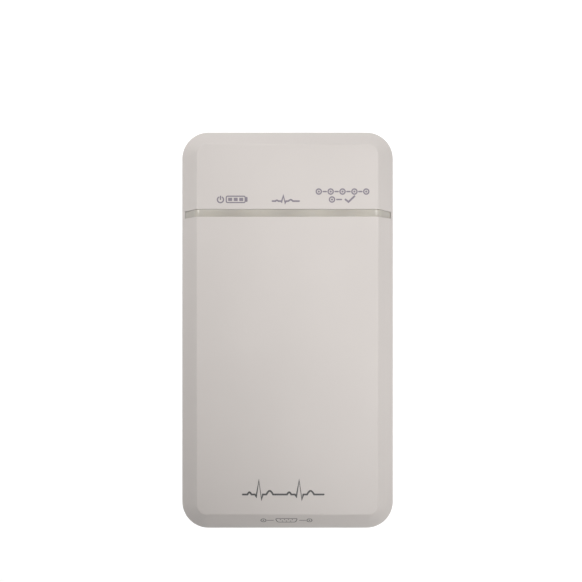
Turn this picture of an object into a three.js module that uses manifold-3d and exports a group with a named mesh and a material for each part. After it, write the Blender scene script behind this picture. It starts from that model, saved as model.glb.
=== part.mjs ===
// Wireless PC-based ECG recorder: a hand-held battery box with one patient-cable socket.
//
// Millimetres, +Z up. The box lies on its back on four rubber feet, front face up.
// X runs to the right of the front face, +Y to the top end (the end with the light bar),
// -Y to the end with the patient-cable socket. The origin is under the middle of the box,
// on the plane that the feet rest on.

import * as THREE from 'three';
import { mergeVertices } from 'three/addons/utils/BufferGeometryUtils.js';
import Module from 'manifold-3d';

const wasm = await Module();
wasm.setup();

// ---------------------------------------------------------------- driving dimensions

// outer shell
const WIDTH = 80;
const LENGTH = 150;
const CORNER_R = 10.0;           // vertical edges, seen from the front
const Z_BACK = 1.0;              // back of the rear cover, above the feet's underside
const Z_PART = 14.5;             // parting plane between the covers
const Z_FACE = 29.0;             // flat front face
const WALL = 2.2;

// front edge: flat face, chamfer, then a rounded shoulder into the side wall
const CHAMFER_LATERAL = 5.2;
const CHAMFER_DROP = 5.0;
const CHAMFER_ANGLE = Math.atan2(CHAMFER_DROP, CHAMFER_LATERAL);
const SHOULDER_R = 3.6;
const BACK_EDGE_R = 3.2;

// light bar in the front face
const BAR_Y0 = 41.83;
const BAR_Y1 = 44.6;
const BAR_TAPER = 0.15;          // each long side, from the bend to the bar's end
const BAR_SUNK = 0.3;            // below the face
const BAR_DEPTH = 1.2;           // underside of the strip, below the face
const BAR_RUN = 7.2;             // down each chamfer
const GROOVE_GAP = 0.05;         // on each long side
const GROOVE_DEPTH = 1.3;
const GROOVE_RUN = 7.55;
const LAMP_X = [-20.4, 0, 20.4];

// circuit board
const BOARD_Z0 = 20.2;
const BOARD_Z1 = 21.8;
const BOARD_HALF_W = 35.5;
const BOARD_Y0 = -64.5;
const BOARD_Y1 = 72.0;
const BOARD_SCREWS = [[-31, 50, 'top_left'], [31, 50, 'top_right'], [-31, -50, 'bottom_left'], [31, -50, 'bottom_right']];

// cover screws, feet
const COVER_SCREWS = [[-32.5, 66, 'top_left'], [32.5, 66, 'top_right'], [-32.5, -66, 'bottom_left'], [32.5, -66, 'bottom_right']];
const SCREW_SEAT_Z = 9.0;        // where the screw heads bear, deep in the back
const FEET = [[-31, 52, 'top_left'], [31, 52, 'top_right'], [-31, -52, 'bottom_left'], [31, -52, 'bottom_right']];
const FOOT_R = 4.5;
const FOOT_RECESS = 0.6;

// patient-cable socket: fifteen-way, two rows
const SOCKET_Z = 13.3;
const POCKET_HALF_W = 21.75;
const POCKET_HALF_H = 8.3;
const PANEL_Y0 = -68.4;
const PANEL_Y1 = -66.8;
const PANEL_HALF_W = 23.0;
const PANEL_HALF_H = 9.2;
const FLANGE_HALF_W = 19.57;
const FLANGE_HALF_H = 6.275;
const FLANGE_T = 1.0;
const SHELL_HALF_W = 12.33;
const SHELL_HALF_H = 3.95;
const SHELL_T = 0.4;
const SHELL_TIP_Y = -72.9;
const JACK_X = 16.66;            // 33.32 apart
const PIN_PITCH = 2.77;
const PIN_ROW = 1.42;            // half of the 2.84 row spacing

// battery bay, two AA cells lying side by side
const BAY_HALF_W = 15.4;
const BAY_Y0 = 12.0;
const BAY_Y1 = 70.0;
const BAY_Z1 = 18.2;             // underside of its ceiling
const BAY_WALL = 1.4;
const CELL_R = 7.25;
const CELL_L = 50.5;
const CELL_X = 7.7;
const CELL_Z = 10.45;
const CONTACT_T = 0.4;
const DIMPLE = 0.8;

// battery door, sliding out over the top end
const DOOR_HALF_W = 20.0;
const DOOR_Y0 = 9.0;
const DOOR_T = 1.8;
const TONGUE = 1.5;
const DOOR_LIP_Z = 9.0;
const DOOR_GAP = 0.2;

// power key in the right-hand side wall
const KEY_Y = 23.0;
const KEY_Z = 18.0;
const KEY_L = 14.0;
const KEY_H = 4.6;
const KEY_GAP = 0.22;

const ARC = 8;                   // segments in a quarter turn of the shell's corners

// ---------------------------------------------------------------- solids

const X = new THREE.Vector3(1, 0, 0);
const Y = new THREE.Vector3(0, 1, 0);
const Z = new THREE.Vector3(0, 0, 1);

function solid(geometry) {
  const g = geometry.index ? geometry.toNonIndexed() : geometry.clone();
  g.deleteAttribute('normal');
  g.deleteAttribute('uv');
  const m = mergeVertices(g, 1e-4);
  return new wasm.Manifold(new wasm.Mesh({
    numProp: 3,
    vertProperties: m.attributes.position.array,
    triVerts: new Uint32Array(m.index.array),
  }));
}

function join(first, ...rest) {
  return rest.reduce((a, b) => a.add(b), first);
}

function cut(first, ...rest) {
  return rest.reduce((a, b) => a.subtract(b), first);
}

function meet(first, ...rest) {
  return rest.reduce((a, b) => a.intersect(b), first);
}

function box(x0, x1, y0, y1, z0, z1) {
  const g = new THREE.BoxGeometry(x1 - x0, y1 - y0, z1 - z0);
  g.translate((x0 + x1) / 2, (y0 + y1) / 2, (z0 + z1) / 2);
  return solid(g);
}

// round bar between two heights, or along Y or X
function rod(r, x, y, z0, z1, segments = 16) {
  const g = new THREE.CylinderGeometry(r, r, z1 - z0, segments);
  g.rotateX(Math.PI / 2);
  g.translate(x, y, (z0 + z1) / 2);
  return solid(g);
}

function rodY(r, x, z, y0, y1, segments = 16) {
  const g = new THREE.CylinderGeometry(r, r, y1 - y0, segments);
  g.translate(x, (y0 + y1) / 2, z);
  return solid(g);
}

// a turned piece standing on Z; the profile is a list of [radius, height]
function turned(profile, x, y, segments = 24) {
  const g = new THREE.LatheGeometry(profile.map(([r, h]) => new THREE.Vector2(r, h)), segments);
  g.rotateX(Math.PI / 2);
  g.translate(x, y, 0);
  return solid(g);
}

function roundedRect(w, l, r, cx = 0, cy = 0) {
  const s = new THREE.Shape();
  const x = w / 2, y = l / 2;
  s.moveTo(cx - x + r, cy - y);
  s.lineTo(cx + x - r, cy - y);
  s.absarc(cx + x - r, cy - y + r, r, -Math.PI / 2, 0, false);
  s.lineTo(cx + x, cy + y - r);
  s.absarc(cx + x - r, cy + y - r, r, 0, Math.PI / 2, false);
  s.lineTo(cx - x + r, cy + y);
  s.absarc(cx - x + r, cy + y - r, r, Math.PI / 2, Math.PI, false);
  s.lineTo(cx - x, cy - y + r);
  s.absarc(cx - x + r, cy - y + r, r, Math.PI, Math.PI * 1.5, false);
  return s;
}

function polygon(points) {
  return new THREE.Shape(points.map(([a, b]) => new THREE.Vector2(a, b)));
}

// prisms from a flat outline: along Z, along Y (outline in X and Z), along X (outline in Y and Z)
function prismZ(shape, z0, z1, curveSegments = ARC) {
  const g = new THREE.ExtrudeGeometry(shape, { depth: z1 - z0, bevelEnabled: false, curveSegments });
  g.translate(0, 0, z0);
  return solid(g);
}

function prismY(shape, y0, y1, curveSegments = 4) {
  const g = new THREE.ExtrudeGeometry(shape, { depth: y1 - y0, bevelEnabled: false, curveSegments });
  g.applyMatrix4(new THREE.Matrix4().makeBasis(X, Z, Y.clone().negate()));
  g.translate(0, y1, 0);
  return solid(g);
}

function prismX(shape, x0, x1, curveSegments = 4) {
  const g = new THREE.ExtrudeGeometry(shape, { depth: x1 - x0, bevelEnabled: false, curveSegments });
  g.applyMatrix4(new THREE.Matrix4().makeBasis(Y, Z, X));
  g.translate(x0, 0, 0);
  return solid(g);
}

// Rounded block whose top edge follows a profile of [inset, z] points, from the top face down
// to the full outline. Each straight stretch of the profile is one bevelled prism, and the
// block is what they have in common.
function profiledTop(w, l, r, profile, zBottom) {
  const zTop = profile[0][1];
  let out = null;
  for (let i = 0; i + 1 < profile.length; i++) {
    const [i0, z0] = profile[i];
    const [i1, z1] = profile[i + 1];
    if (i0 <= i1) continue;
    const slope = (z0 - z1) / (i0 - i1);
    const size = i0 + (zTop - z0) / slope;
    const drop = size * slope;
    const g = new THREE.ExtrudeGeometry(roundedRect(w, l, r), {
      depth: 60, curveSegments: ARC, bevelEnabled: true, bevelSegments: 1,
      bevelSize: size, bevelOffset: -size, bevelThickness: drop,
    });
    g.translate(0, 0, zTop - 60 - drop);
    const s = solid(g);
    out = out ? out.intersect(s) : s;
  }
  return out.intersect(box(-w, w, -l, l, zBottom, zTop + 1));
}

// the same, turned over: the bottom edge is a quarter round of radius e
function roundedBottom(w, l, r, e, zBottom, zTop, steps = 3) {
  const g = new THREE.ExtrudeGeometry(roundedRect(w, l, r), {
    depth: 60, curveSegments: ARC, bevelEnabled: true, bevelSegments: steps,
    bevelSize: e, bevelOffset: -e, bevelThickness: e,
  });
  g.translate(0, 0, zBottom + e);
  return solid(g).intersect(box(-w, w, -l, l, zBottom - 1, zTop));
}

// ---------------------------------------------------------------- the front edge's profile

const SHOULDER_LATERAL = SHOULDER_R * (1 - Math.sin(CHAMFER_ANGLE));
const MARGIN = CHAMFER_LATERAL + SHOULDER_LATERAL;      // from the outline to the flat face
const shoulder = (angle) => [
  SHOULDER_R * (1 - Math.cos(angle)),
  Z_FACE - CHAMFER_DROP - SHOULDER_R * (Math.cos(CHAMFER_ANGLE) - Math.sin(angle)),
];
// angle is measured from level: the chamfer is tangent to the shoulder where its normal is
const NORMAL = Math.PI / 2 - CHAMFER_ANGLE;
const outerProfile = [
  [MARGIN, Z_FACE],
  shoulder(NORMAL),
  shoulder(NORMAL / 2),
  shoulder(0),
  [0, Z_PART],
];

// a point of the face, d below the surface: at the chamfer's top corner, or run along the chamfer
const HALF_FACE = WIDTH / 2 - MARGIN;
const cosC = Math.cos(CHAMFER_ANGLE), sinC = Math.sin(CHAMFER_ANGLE);
const corner = (d) => [HALF_FACE - d * Math.tan(CHAMFER_ANGLE / 2), Z_FACE - d];
const onChamfer = (run, d) => [HALF_FACE + run * cosC - d * sinC, Z_FACE - run * sinC - d * cosC];

// band across the face and down both chamfers, between two depths; on the chamfers it narrows
function band(y0, y1, dTop, dBottom, run) {
  const right = [onChamfer(run, dBottom), onChamfer(run, dTop), corner(dTop)];
  const low = corner(dBottom);
  const pts = [low, ...right];
  const left = pts.map(([x, z]) => [-x, z]).reverse();
  const xe = HALF_FACE + BAR_RUN * cosC, t = BAR_TAPER * 2;
  const xf = 2 * xe - HALF_FACE;
  const plan = [[-HALF_FACE, y0], [HALF_FACE, y0], [xf, y0 + t], [xf, y1 - t], [HALF_FACE, y1], [-HALF_FACE, y1], [-xf, y1 - t], [-xf, y0 + t]];
  return meet(prismY(polygon([...pts, ...left]), y0 - 0.1, y1 + 0.1), prismZ(polygon(plan), 15, 32));
}

// ---------------------------------------------------------------- covers

const outerFront = profiledTop(WIDTH, LENGTH, CORNER_R, outerProfile, Z_PART);
const outerRear = roundedBottom(WIDTH, LENGTH, CORNER_R, BACK_EDGE_R, Z_BACK, Z_PART);

const inW = WIDTH - 2 * WALL, inL = LENGTH - 2 * WALL, inR = CORNER_R - WALL;
const innerCorner = corner(WALL);
const innerInset = inW / 2 - innerCorner[0];
const innerSlope = CHAMFER_DROP / CHAMFER_LATERAL;
const innerProfile = [[innerInset, innerCorner[1]], [0, innerCorner[1] - innerInset * innerSlope]];

function pocketWalls(z0, z1) {
  return box(-24.4, 24.4, -74.0, -65.6, z0, z1);
}

const pocket = box(-POCKET_HALF_W, POCKET_HALF_W, -76, -65, SOCKET_Z - POCKET_HALF_H, SOCKET_Z + POCKET_HALF_H);
const panelGroove = box(-PANEL_HALF_W - 0.1, PANEL_HALF_W + 0.1, PANEL_Y0 - 0.1, PANEL_Y1 + 0.1,
  SOCKET_Z - PANEL_HALF_H - 0.1, SOCKET_Z + PANEL_HALF_H + 0.1);
const keyHole = prismX(roundedRect(KEY_L + 2 * KEY_GAP, KEY_H + 2 * KEY_GAP, 1.6, KEY_Y, KEY_Z), 36.5, 41);

function frontCover() {
  let s = outerFront.subtract(profiledTop(inW, inL, inR, innerProfile, Z_PART - 1));
  // walls round the socket pocket, and a boss for each cover screw
  s = s.add(meet(pocketWalls(Z_PART, 24.0), outerFront));
  for (const [x, y] of COVER_SCREWS) s = s.add(rod(3.4, x, y, Z_PART, 26.0));
  // lip that drops inside the rear cover
  const lip = cut(
    prismZ(roundedRect(inW + 2.0, inL + 2.0, inR + 1.0), 13.1, Z_PART + 1),
    prismZ(roundedRect(inW, inL, inR), 13, Z_PART + 2),
    box(-26, 26, -76, -70, 12, 16),
    box(-23.7, 23.7, 70, 76, 12, 16));
  s = s.add(lip);
  s = cut(s, pocket, panelGroove, keyHole);
  for (const [x, y] of COVER_SCREWS) s = s.subtract(rod(1.25, x, y, Z_PART - 1, 24.0, 12));
  // groove for the light bar, and a window in its floor over each lamp
  s = s.subtract(band(BAR_Y0 - GROOVE_GAP, BAR_Y1 + GROOVE_GAP, -1, GROOVE_DEPTH, GROOVE_RUN));
  for (const x of LAMP_X) s = s.subtract(box(x - 3.5, x + 3.5, 42.1, 44.55, 25, 28.5));
  return s;
}

function rearCover() {
  let s = outerRear.subtract(roundedBottom(inW, inL, inR, WALL, Z_BACK + 2.0, Z_PART + 1, 2));
  // socket pocket, battery bay with its ledge, screw bosses and board posts
  s = s.add(meet(pocketWalls(2.0, Z_PART), outerRear));
  const bay = join(
    box(-23.5, 23.5, 6.5, 73.5, 2.9, 4.4),
    box(-BAY_HALF_W - BAY_WALL, BAY_HALF_W + BAY_WALL, BAY_Y0 - BAY_WALL, 71.4, 2.9, BAY_Z1 + BAY_WALL),
    box(-23.5, 23.5, BAY_Y1, 72.8, 2.9, 13.0));
  s = s.add(bay);
  for (const [x, y] of COVER_SCREWS) s = s.add(rod(4.2, x, y, 2.0, Z_PART));
  for (const [x, y] of BOARD_SCREWS) {
    s = s.add(rod(3.2, x, y, 2.0, BOARD_Z0));
    s = s.subtract(rod(0.95, x, y, 11, BOARD_Z0 + 1, 12));
  }
  // room for the front cover's lip
  s = cut(s, cut(
    prismZ(roundedRect(inW + 2.2, inL + 2.2, inR + 1.1), 13.0, Z_PART + 1),
    prismZ(roundedRect(inW - 0.01, inL - 0.01, inR), 12, Z_PART + 2),
    box(-25.9, 25.9, -76, -70, 12, 16),
    box(-23.6, 23.6, 70, 76, 12, 16)));
  s = cut(s, pocket, panelGroove);
  // deep screw holes from the back
  for (const [x, y] of COVER_SCREWS) {
    s = s.subtract(rod(2.75, x, y, 0, SCREW_SEAT_Z));
    s = s.subtract(rod(1.5, x, y, SCREW_SEAT_Z - 1, Z_PART + 1, 12));
  }
  // inside of the battery bay, and slots in its ceiling for the contacts' tails
  s = s.subtract(box(-BAY_HALF_W, BAY_HALF_W, BAY_Y0, BAY_Y1, 0, BAY_Z1));
  for (const x of [-CELL_X, CELL_X])
    s = s.subtract(box(x - 1.7, x + 1.7, BAY_Y1 - 0.6, BAY_Y1 + 0.2, BAY_Z1 - 1, BAY_Z1 + 3));
  // opening for the door, with a groove each side for its tongues, out through the top end
  s = cut(s,
    box(-DOOR_HALF_W - DOOR_GAP, DOOR_HALF_W + DOOR_GAP, DOOR_Y0 - DOOR_GAP, 76, 0, 3.0),
    box(-DOOR_HALF_W - TONGUE - DOOR_GAP, DOOR_HALF_W + TONGUE + DOOR_GAP, DOOR_Y0 - DOOR_GAP, 76, 1.8, 3.0),
    box(-DOOR_HALF_W - DOOR_GAP, DOOR_HALF_W + DOOR_GAP, 72.8, 76, 0, DOOR_LIP_Z + DOOR_GAP));
  // recesses for the feet and for the label
  for (const [x, y] of FEET) s = s.subtract(rod(FOOT_R + 0.2, x, y, 0, Z_BACK + FOOT_RECESS, 24));
  s = s.subtract(box(-25.2, 25.2, -42.2, -11.8, 0, Z_BACK + 0.2));
  return s;
}

function batteryDoor() {
  let s = join(
    box(-DOOR_HALF_W, DOOR_HALF_W, DOOR_Y0, 76, Z_BACK - 0.5, Z_BACK + DOOR_T),
    box(-DOOR_HALF_W - TONGUE, DOOR_HALF_W + TONGUE, DOOR_Y0, 76, 2.0, Z_BACK + DOOR_T),
    box(-DOOR_HALF_W, DOOR_HALF_W, 73.0, 76, Z_BACK - 0.5, DOOR_LIP_Z));
  s = s.intersect(outerRear);
  // grip: six cross grooves in a shallow pad near the end
  for (let i = 0; i < 6; i++) {
    const y = 58 + i * 2;
    s = s.subtract(box(-9, 9, y, y + 1, 0, Z_BACK + 0.4));
  }
  return s;
}

// ---------------------------------------------------------------- light bar and lamps

function lightBar() {
  let s = band(BAR_Y0, BAR_Y1, BAR_SUNK, BAR_DEPTH, BAR_RUN);
  for (const x of LAMP_X) s = s.add(box(x - 3.2, x + 3.2, 42.3, 44.35, 23.4, Z_FACE - BAR_DEPTH + 0.3));
  return s;
}

function ledBaffle() {
  let s = box(-29, 29, 39.6, 47.05, 21.9, 26.6);
  for (const x of LAMP_X) s = s.subtract(box(x - 4.2, x + 4.2, 41.2, 45.4, 21, 28));
  return s;
}

const lamp = (x) => join(box(x - 1.6, x + 1.6, 42.5, 44.1, BOARD_Z1, BOARD_Z1 + 0.5), box(x - 1.1, x + 1.1, 42.6, 44.0, BOARD_Z1 + 0.4, BOARD_Z1 + 1.2));

// ---------------------------------------------------------------- board

const pinX = [];
for (let i = 0; i < 8; i++) pinX.push([(i - 3.5) * PIN_PITCH, 1]);
for (let i = 0; i < 7; i++) pinX.push([(i - 3) * PIN_PITCH, -1]);
const TAIL_Y = { 1: -59.0, '-1': -61.84 };

function mainBoard() {
  let s = box(-BOARD_HALF_W, BOARD_HALF_W, BOARD_Y0, BOARD_Y1, BOARD_Z0, BOARD_Z1);
  for (const sx of [-1, 1]) for (const sy of [-1, 1]) {
    const x0 = Math.min(28 * sx, 40 * sx), x1 = Math.max(28 * sx, 40 * sx);
    const y0 = Math.min(61.5 * sy, 80 * sy), y1 = Math.max(61.5 * sy, 80 * sy);
    s = s.subtract(box(x0, x1, y0, y1, 19, 23));
  }
  for (const [x, y] of BOARD_SCREWS) s = s.subtract(rod(1.25, x, y, 19, 23, 12));
  for (const [x, row] of pinX) s = s.subtract(rod(0.6, x, TAIL_Y[row], 19, 23, 6));
  for (const x of [-CELL_X, CELL_X]) s = s.subtract(box(x - 1.6, x + 1.6, BAY_Y1 - 0.7, BAY_Y1 + 0.3, 19, 23));
  return s;
}

const shieldCan = (x0, x1, y0, y1, z0, z1, t) =>
  cut(box(x0, x1, y0, y1, z0, z1), box(x0 + t, x1 - t, y0 + t, y1 - t, z0 - 1, z1 - t));

function boardScrew(x, y) {
  return turned([[0, 13.2], [0.8, 14.0], [0.8, BOARD_Z1 - 0.4], [0.8, BOARD_Z1], [1.9, BOARD_Z1], [1.9, BOARD_Z1 + 0.8], [1.3, BOARD_Z1 + 1.4], [0, BOARD_Z1 + 1.4]], x, y, 12)
    .subtract(box(x - 1.0, x + 1.0, y - 0.25, y + 0.25, BOARD_Z1 + 0.7, BOARD_Z1 + 2))
    .subtract(box(x - 0.25, x + 0.25, y - 1.0, y + 1.0, BOARD_Z1 + 0.7, BOARD_Z1 + 2));
}

function coverScrew(x, y) {
  // head down, deep in its hole
  return turned([[0, 6.9], [1.6, 6.9], [2.3, 7.6], [2.3, SCREW_SEAT_Z], [1.1, SCREW_SEAT_Z], [1.1, 21.6], [0, 22.6]], x, y, 12)
    .subtract(box(x - 1.3, x + 1.3, y - 0.3, y + 0.3, 6, 7.9))
    .subtract(box(x - 0.3, x + 0.3, y - 1.3, y + 1.3, 6, 7.9));
}

const foot = (x, y) => turned([[0, 0], [FOOT_R - 0.6, 0], [FOOT_R, 0.6], [FOOT_R, Z_BACK + FOOT_RECESS], [0, Z_BACK + FOOT_RECESS]], x, y, 24);

// ---------------------------------------------------------------- power key and its switch

function powerKey() {
  const face = prismX(roundedRect(KEY_L, KEY_H, 1.4, KEY_Y, KEY_Z), 36.8, WIDTH / 2);
  const flange = prismX(roundedRect(KEY_L + 3, KEY_H + 1.6, 1.4, KEY_Y, KEY_Z), 36.7, 37.6);
  const nose = box(35.4, 37.0, KEY_Y - 1.5, KEY_Y + 1.5, KEY_Z - 1.0, KEY_Z + 1.0);
  return join(face, flange, nose);
}

const switchBody = () => cut(
  box(28.4, 33.9, KEY_Y - 3.3, KEY_Y + 3.3, 16.5, BOARD_Z0),
  box(30.9, 35, KEY_Y - 1.5, KEY_Y + 1.5, KEY_Z - 0.9, KEY_Z + 0.9));

const switchPlunger = () => box(31.6, 35.3, KEY_Y - 1.4, KEY_Y + 1.4, KEY_Z - 0.8, KEY_Z + 0.8);

// ---------------------------------------------------------------- patient-cable socket

// the D outline, wide side up, inset by d
function dOutline(d) {
  const h = SHELL_HALF_H - d;
  const slope = Math.tan(THREE.MathUtils.degToRad(10));
  const wTop = SHELL_HALF_W - d * (1 / Math.cos(Math.atan(slope)) - slope);
  const wBottom = wTop - 2 * h * slope;
  const r = Math.max(2.3 - d, 0.5);
  const pts = [[-wBottom, -h], [wBottom, -h], [wTop, h], [-wTop, h]];
  const s = new THREE.Shape();
  pts.forEach((p, i) => {
    const a = pts[(i + 3) % 4], b = pts[(i + 1) % 4];
    const u = new THREE.Vector2(a[0] - p[0], a[1] - p[1]).normalize();
    const v = new THREE.Vector2(b[0] - p[0], b[1] - p[1]).normalize();
    const half = Math.acos(u.dot(v)) / 2;
    const t = r / Math.tan(half);
    const p0 = [p[0] + u.x * t, p[1] + u.y * t], p1 = [p[0] + v.x * t, p[1] + v.y * t];
    const bis = u.clone().add(v).normalize().multiplyScalar(r / Math.sin(half));
    const c = [p[0] + bis.x, p[1] + bis.y];
    const a0 = Math.atan2(p0[1] - c[1], p0[0] - c[0]), a1 = Math.atan2(p1[1] - c[1], p1[0] - c[0]);
    if (i === 0) s.moveTo(p0[0], p0[1] + SOCKET_Z); else s.lineTo(p0[0], p0[1] + SOCKET_Z);
    s.absarc(c[0], c[1] + SOCKET_Z, r, a0, a1, false);
  });
  return s;
}

function socketPanel() {
  let s = box(-PANEL_HALF_W, PANEL_HALF_W, PANEL_Y0, PANEL_Y1, SOCKET_Z - PANEL_HALF_H, SOCKET_Z + PANEL_HALF_H);
  s = s.subtract(prismY(dOutline(-0.35), PANEL_Y0 - 1, PANEL_Y1 + 1));
  for (const x of [-JACK_X, JACK_X]) s = s.subtract(rodY(1.75, x, SOCKET_Z, PANEL_Y0 - 1, PANEL_Y1 + 1, 12));
  return s;
}

function socketShell() {
  const y1 = PANEL_Y1 + FLANGE_T;
  let s = prismY(roundedRect(2 * FLANGE_HALF_W, 2 * FLANGE_HALF_H, 1.2, 0, SOCKET_Z), PANEL_Y1, y1, 2);
  s = s.add(prismY(dOutline(0), SHELL_TIP_Y, PANEL_Y1 + 0.2));
  s = s.subtract(prismY(dOutline(SHELL_T), SHELL_TIP_Y - 1, y1 + 1));
  for (const x of [-JACK_X, JACK_X]) s = s.subtract(rodY(1.6, x, SOCKET_Z, PANEL_Y1 - 1, y1 + 1, 12));
  return s;
}

function socketInsulator() {
  let s = prismY(dOutline(SHELL_T + 0.1), SHELL_TIP_Y + 0.2, PANEL_Y1 + FLANGE_T);
  for (const [x, row] of pinX) s = s.subtract(rodY(0.62, x, SOCKET_Z + row * PIN_ROW, SHELL_TIP_Y - 1, PANEL_Y1 - 1, 8));
  return s;
}

function socketPinBlock() {
  const y0 = PANEL_Y1 + FLANGE_T + 0.05;
  let s = join(box(-12.6, 12.6, y0, -57.4, 9.2, 19.0), box(-12.6, 12.6, y0, -60, 7.6, 19.6));
  for (const [x, row] of pinX) {
    const y = TAIL_Y[row];
    s = s.add(box(x - 0.3, x + 0.3, y - 0.3, y + 0.3, 18.5, BOARD_Z1 + 0.8));
  }
  return s;
}

const hexagon = (acrossFlats, x, y0, y1) => {
  const g = new THREE.CylinderGeometry(acrossFlats / Math.sqrt(3), acrossFlats / Math.sqrt(3), y1 - y0, 6);
  g.translate(x, (y0 + y1) / 2, SOCKET_Z);
  return solid(g);
};

const jackscrew = (x) => join(hexagon(5.0, x, PANEL_Y0 - 4.8, PANEL_Y0), rodY(1.4, x, SOCKET_Z, PANEL_Y0 - 1, -62.6, 12))
  .subtract(rodY(1.3, x, SOCKET_Z, PANEL_Y0 - 6, PANEL_Y0 - 0.8, 12));
const jackNut = (x) => hexagon(5.5, x, PANEL_Y1 + FLANGE_T, -63.4).subtract(rodY(1.55, x, SOCKET_Z, -67, -62, 12));

// ---------------------------------------------------------------- battery cells and contacts

// way = 1 puts the positive end towards +Y
function cell(x, yNub, way) {
  const body = CELL_L - 1.1;
  const profile = [[0, 0], [4.6, 0], [4.9, 0.25], [6.6, 0.25], [CELL_R, 0.9], [CELL_R, body - 0.9], [6.6, body - 0.2], [3.6, body], [2.75, body], [2.75, CELL_L - 0.3], [2.4, CELL_L], [0, CELL_L]];
  const g = new THREE.LatheGeometry(profile.map(([r, h]) => new THREE.Vector2(r, h)), 24);
  if (way < 0) g.rotateX(Math.PI);
  g.translate(x, yNub - way * CELL_L, CELL_Z);
  return solid(g);
}

const link = () => join(
  box(-12.6, 12.6, BAY_Y0, BAY_Y0 + CONTACT_T, 5.2, 16.4),
  rodY(2.2, CELL_X, CELL_Z, BAY_Y0, BAY_Y0 + CONTACT_T + DIMPLE, 12));

function contact(x, dimple) {
  const y1 = BAY_Y1, y0 = BAY_Y1 - CONTACT_T;
  let s = join(box(x - 4.9, x + 4.9, y0, y1, 5.2, 16.4), box(x - 1.5, x + 1.5, y0, y1, 16, BOARD_Z1 + 0.7));
  if (dimple) s = s.add(rodY(2.2, x, CELL_Z, y0 - DIMPLE, y1, 12));
  return s;
}

// conical coil between two heights, wide at its contact plate
function coil(x, yPlate, yCell) {
  const turns = 3.25, n = 36, wire = 0.4;
  const way = Math.sign(yCell - yPlate);
  const y0 = yPlate + way * (wire + 0.06), y1 = yCell - way * (wire + 0.06);
  const points = [];
  for (let i = 0; i <= n; i++) {
    const t = i / n, a = t * turns * Math.PI * 2;
    const r = THREE.MathUtils.lerp(4.3, 2.4, t);
    points.push(new THREE.Vector3(x + r * Math.cos(a), THREE.MathUtils.lerp(y0, y1, t), CELL_Z + r * Math.sin(a)));
  }
  const section = new THREE.Shape();
  section.absarc(0, 0, wire, 0, Math.PI * 2, false);
  const g = new THREE.ExtrudeGeometry(section, {
    extrudePath: new THREE.CatmullRomCurve3(points), steps: n, bevelEnabled: false, curveSegments: 6,
  });
  return solid(g);
}

// ---------------------------------------------------------------- assembly

const finish = (color, roughness, metalness = 0) => new THREE.MeshStandardMaterial({ color, roughness, metalness });
const shellPlastic = finish('#cfcbc8', 0.55);
const rearPlastic = finish('#cbc7c3', 0.58);
const guide = finish('#bcb6ad', 0.35);
const keyPlastic = finish('#b9b5b0', 0.5);
const rubber = finish('#2f2f31', 0.85);
const black = finish('#1f1f21', 0.6);
const boardGreen = finish('#1e5a37', 0.5);
const steel = finish('#b9bcc0', 0.3, 1);
const tin = finish('#c9cbcb', 0.38, 1);
const nickel = finish('#c6c3bb', 0.3, 1);
const lampWhite = finish('#e6e2cf', 0.4);
const label = finish('#dcdad6', 0.5);
const cellSkin = finish('#3b5f78', 0.4);
const insulator = finish('#26282b', 0.55);

const part = new THREE.Group();

function piece(name, body, material) {
  const mesh = body.getMesh();
  const step = mesh.numProp;
  const positions = new Float32Array((mesh.vertProperties.length / step) * 3);
  for (let i = 0; i < positions.length / 3; i++)
    for (let k = 0; k < 3; k++) positions[i * 3 + k] = mesh.vertProperties[i * step + k];
  const g = new THREE.BufferGeometry();
  g.setAttribute('position', new THREE.BufferAttribute(positions, 3));
  g.setIndex(new THREE.BufferAttribute(new Uint32Array(mesh.triVerts), 1));
  const flat = g.toNonIndexed();
  flat.computeVertexNormals();
  const m = new THREE.Mesh(flat, material);
  m.name = name;
  part.add(m);
}

piece('front_cover', frontCover(), shellPlastic);
piece('rear_cover', rearCover(), rearPlastic);
piece('battery_door', batteryDoor(), rearPlastic);
piece('light_bar', lightBar(), guide);
piece('led_baffle', ledBaffle(), black);
piece('main_board', mainBoard(), boardGreen);
['led_power', 'led_work', 'led_electrode'].forEach((n, i) => piece(n, lamp(LAMP_X[i]), lampWhite));
piece('front_end_shield', shieldCan(-18, 18, -50, -22, BOARD_Z1, BOARD_Z1 + 3.6, 0.4), tin);
piece('radio_board', box(-11, 11, 49.5, 63.5, BOARD_Z1, BOARD_Z1 + 0.8), boardGreen);
piece('radio_can', shieldCan(-9.5, 4.5, 50.5, 62.5, BOARD_Z1 + 0.8, BOARD_Z1 + 2.8, 0.3), tin);
piece('processor_chip', box(-6, 6, -8, 4, BOARD_Z1, BOARD_Z1 + 1.4), black);
piece('memory_chip', box(12, 17, -6, 2, BOARD_Z1, BOARD_Z1 + 1.2), black);
piece('power_inductor', meet(box(18.5, 25.5, 14.5, 21.5, BOARD_Z1, BOARD_Z1 + 3.2), rod(4.6, 22, 18, BOARD_Z1, BOARD_Z1 + 4, 16)), black);
piece('reservoir_capacitor', join(box(-24.7, -19.3, 15.3, 20.7, BOARD_Z1, BOARD_Z1 + 0.8), rod(2.5, -22, 18, BOARD_Z1 + 0.5, BOARD_Z1 + 4.4, 16)), nickel);
for (const [x, y, where] of BOARD_SCREWS) piece('board_screw_' + where, boardScrew(x, y), steel);
for (const [x, y, where] of COVER_SCREWS) piece('cover_screw_' + where, coverScrew(x, y), steel);
for (const [x, y, where] of FEET) piece('foot_' + where, foot(x, y), rubber);
piece('rating_label', box(-25, 25, -42, -12, Z_BACK + 0.05, Z_BACK + 0.2), label);
piece('power_key', powerKey(), keyPlastic);
piece('power_switch_body', switchBody(), black);
piece('power_switch_plunger', switchPlunger(), finish('#e8e6e0', 0.5));
piece('socket_panel', socketPanel(), rearPlastic);
piece('socket_shell', socketShell(), nickel);
piece('socket_insulator', socketInsulator(), insulator);
piece('socket_pin_block', socketPinBlock(), insulator);
piece('jackscrew_left', jackscrew(-JACK_X), nickel);
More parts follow.
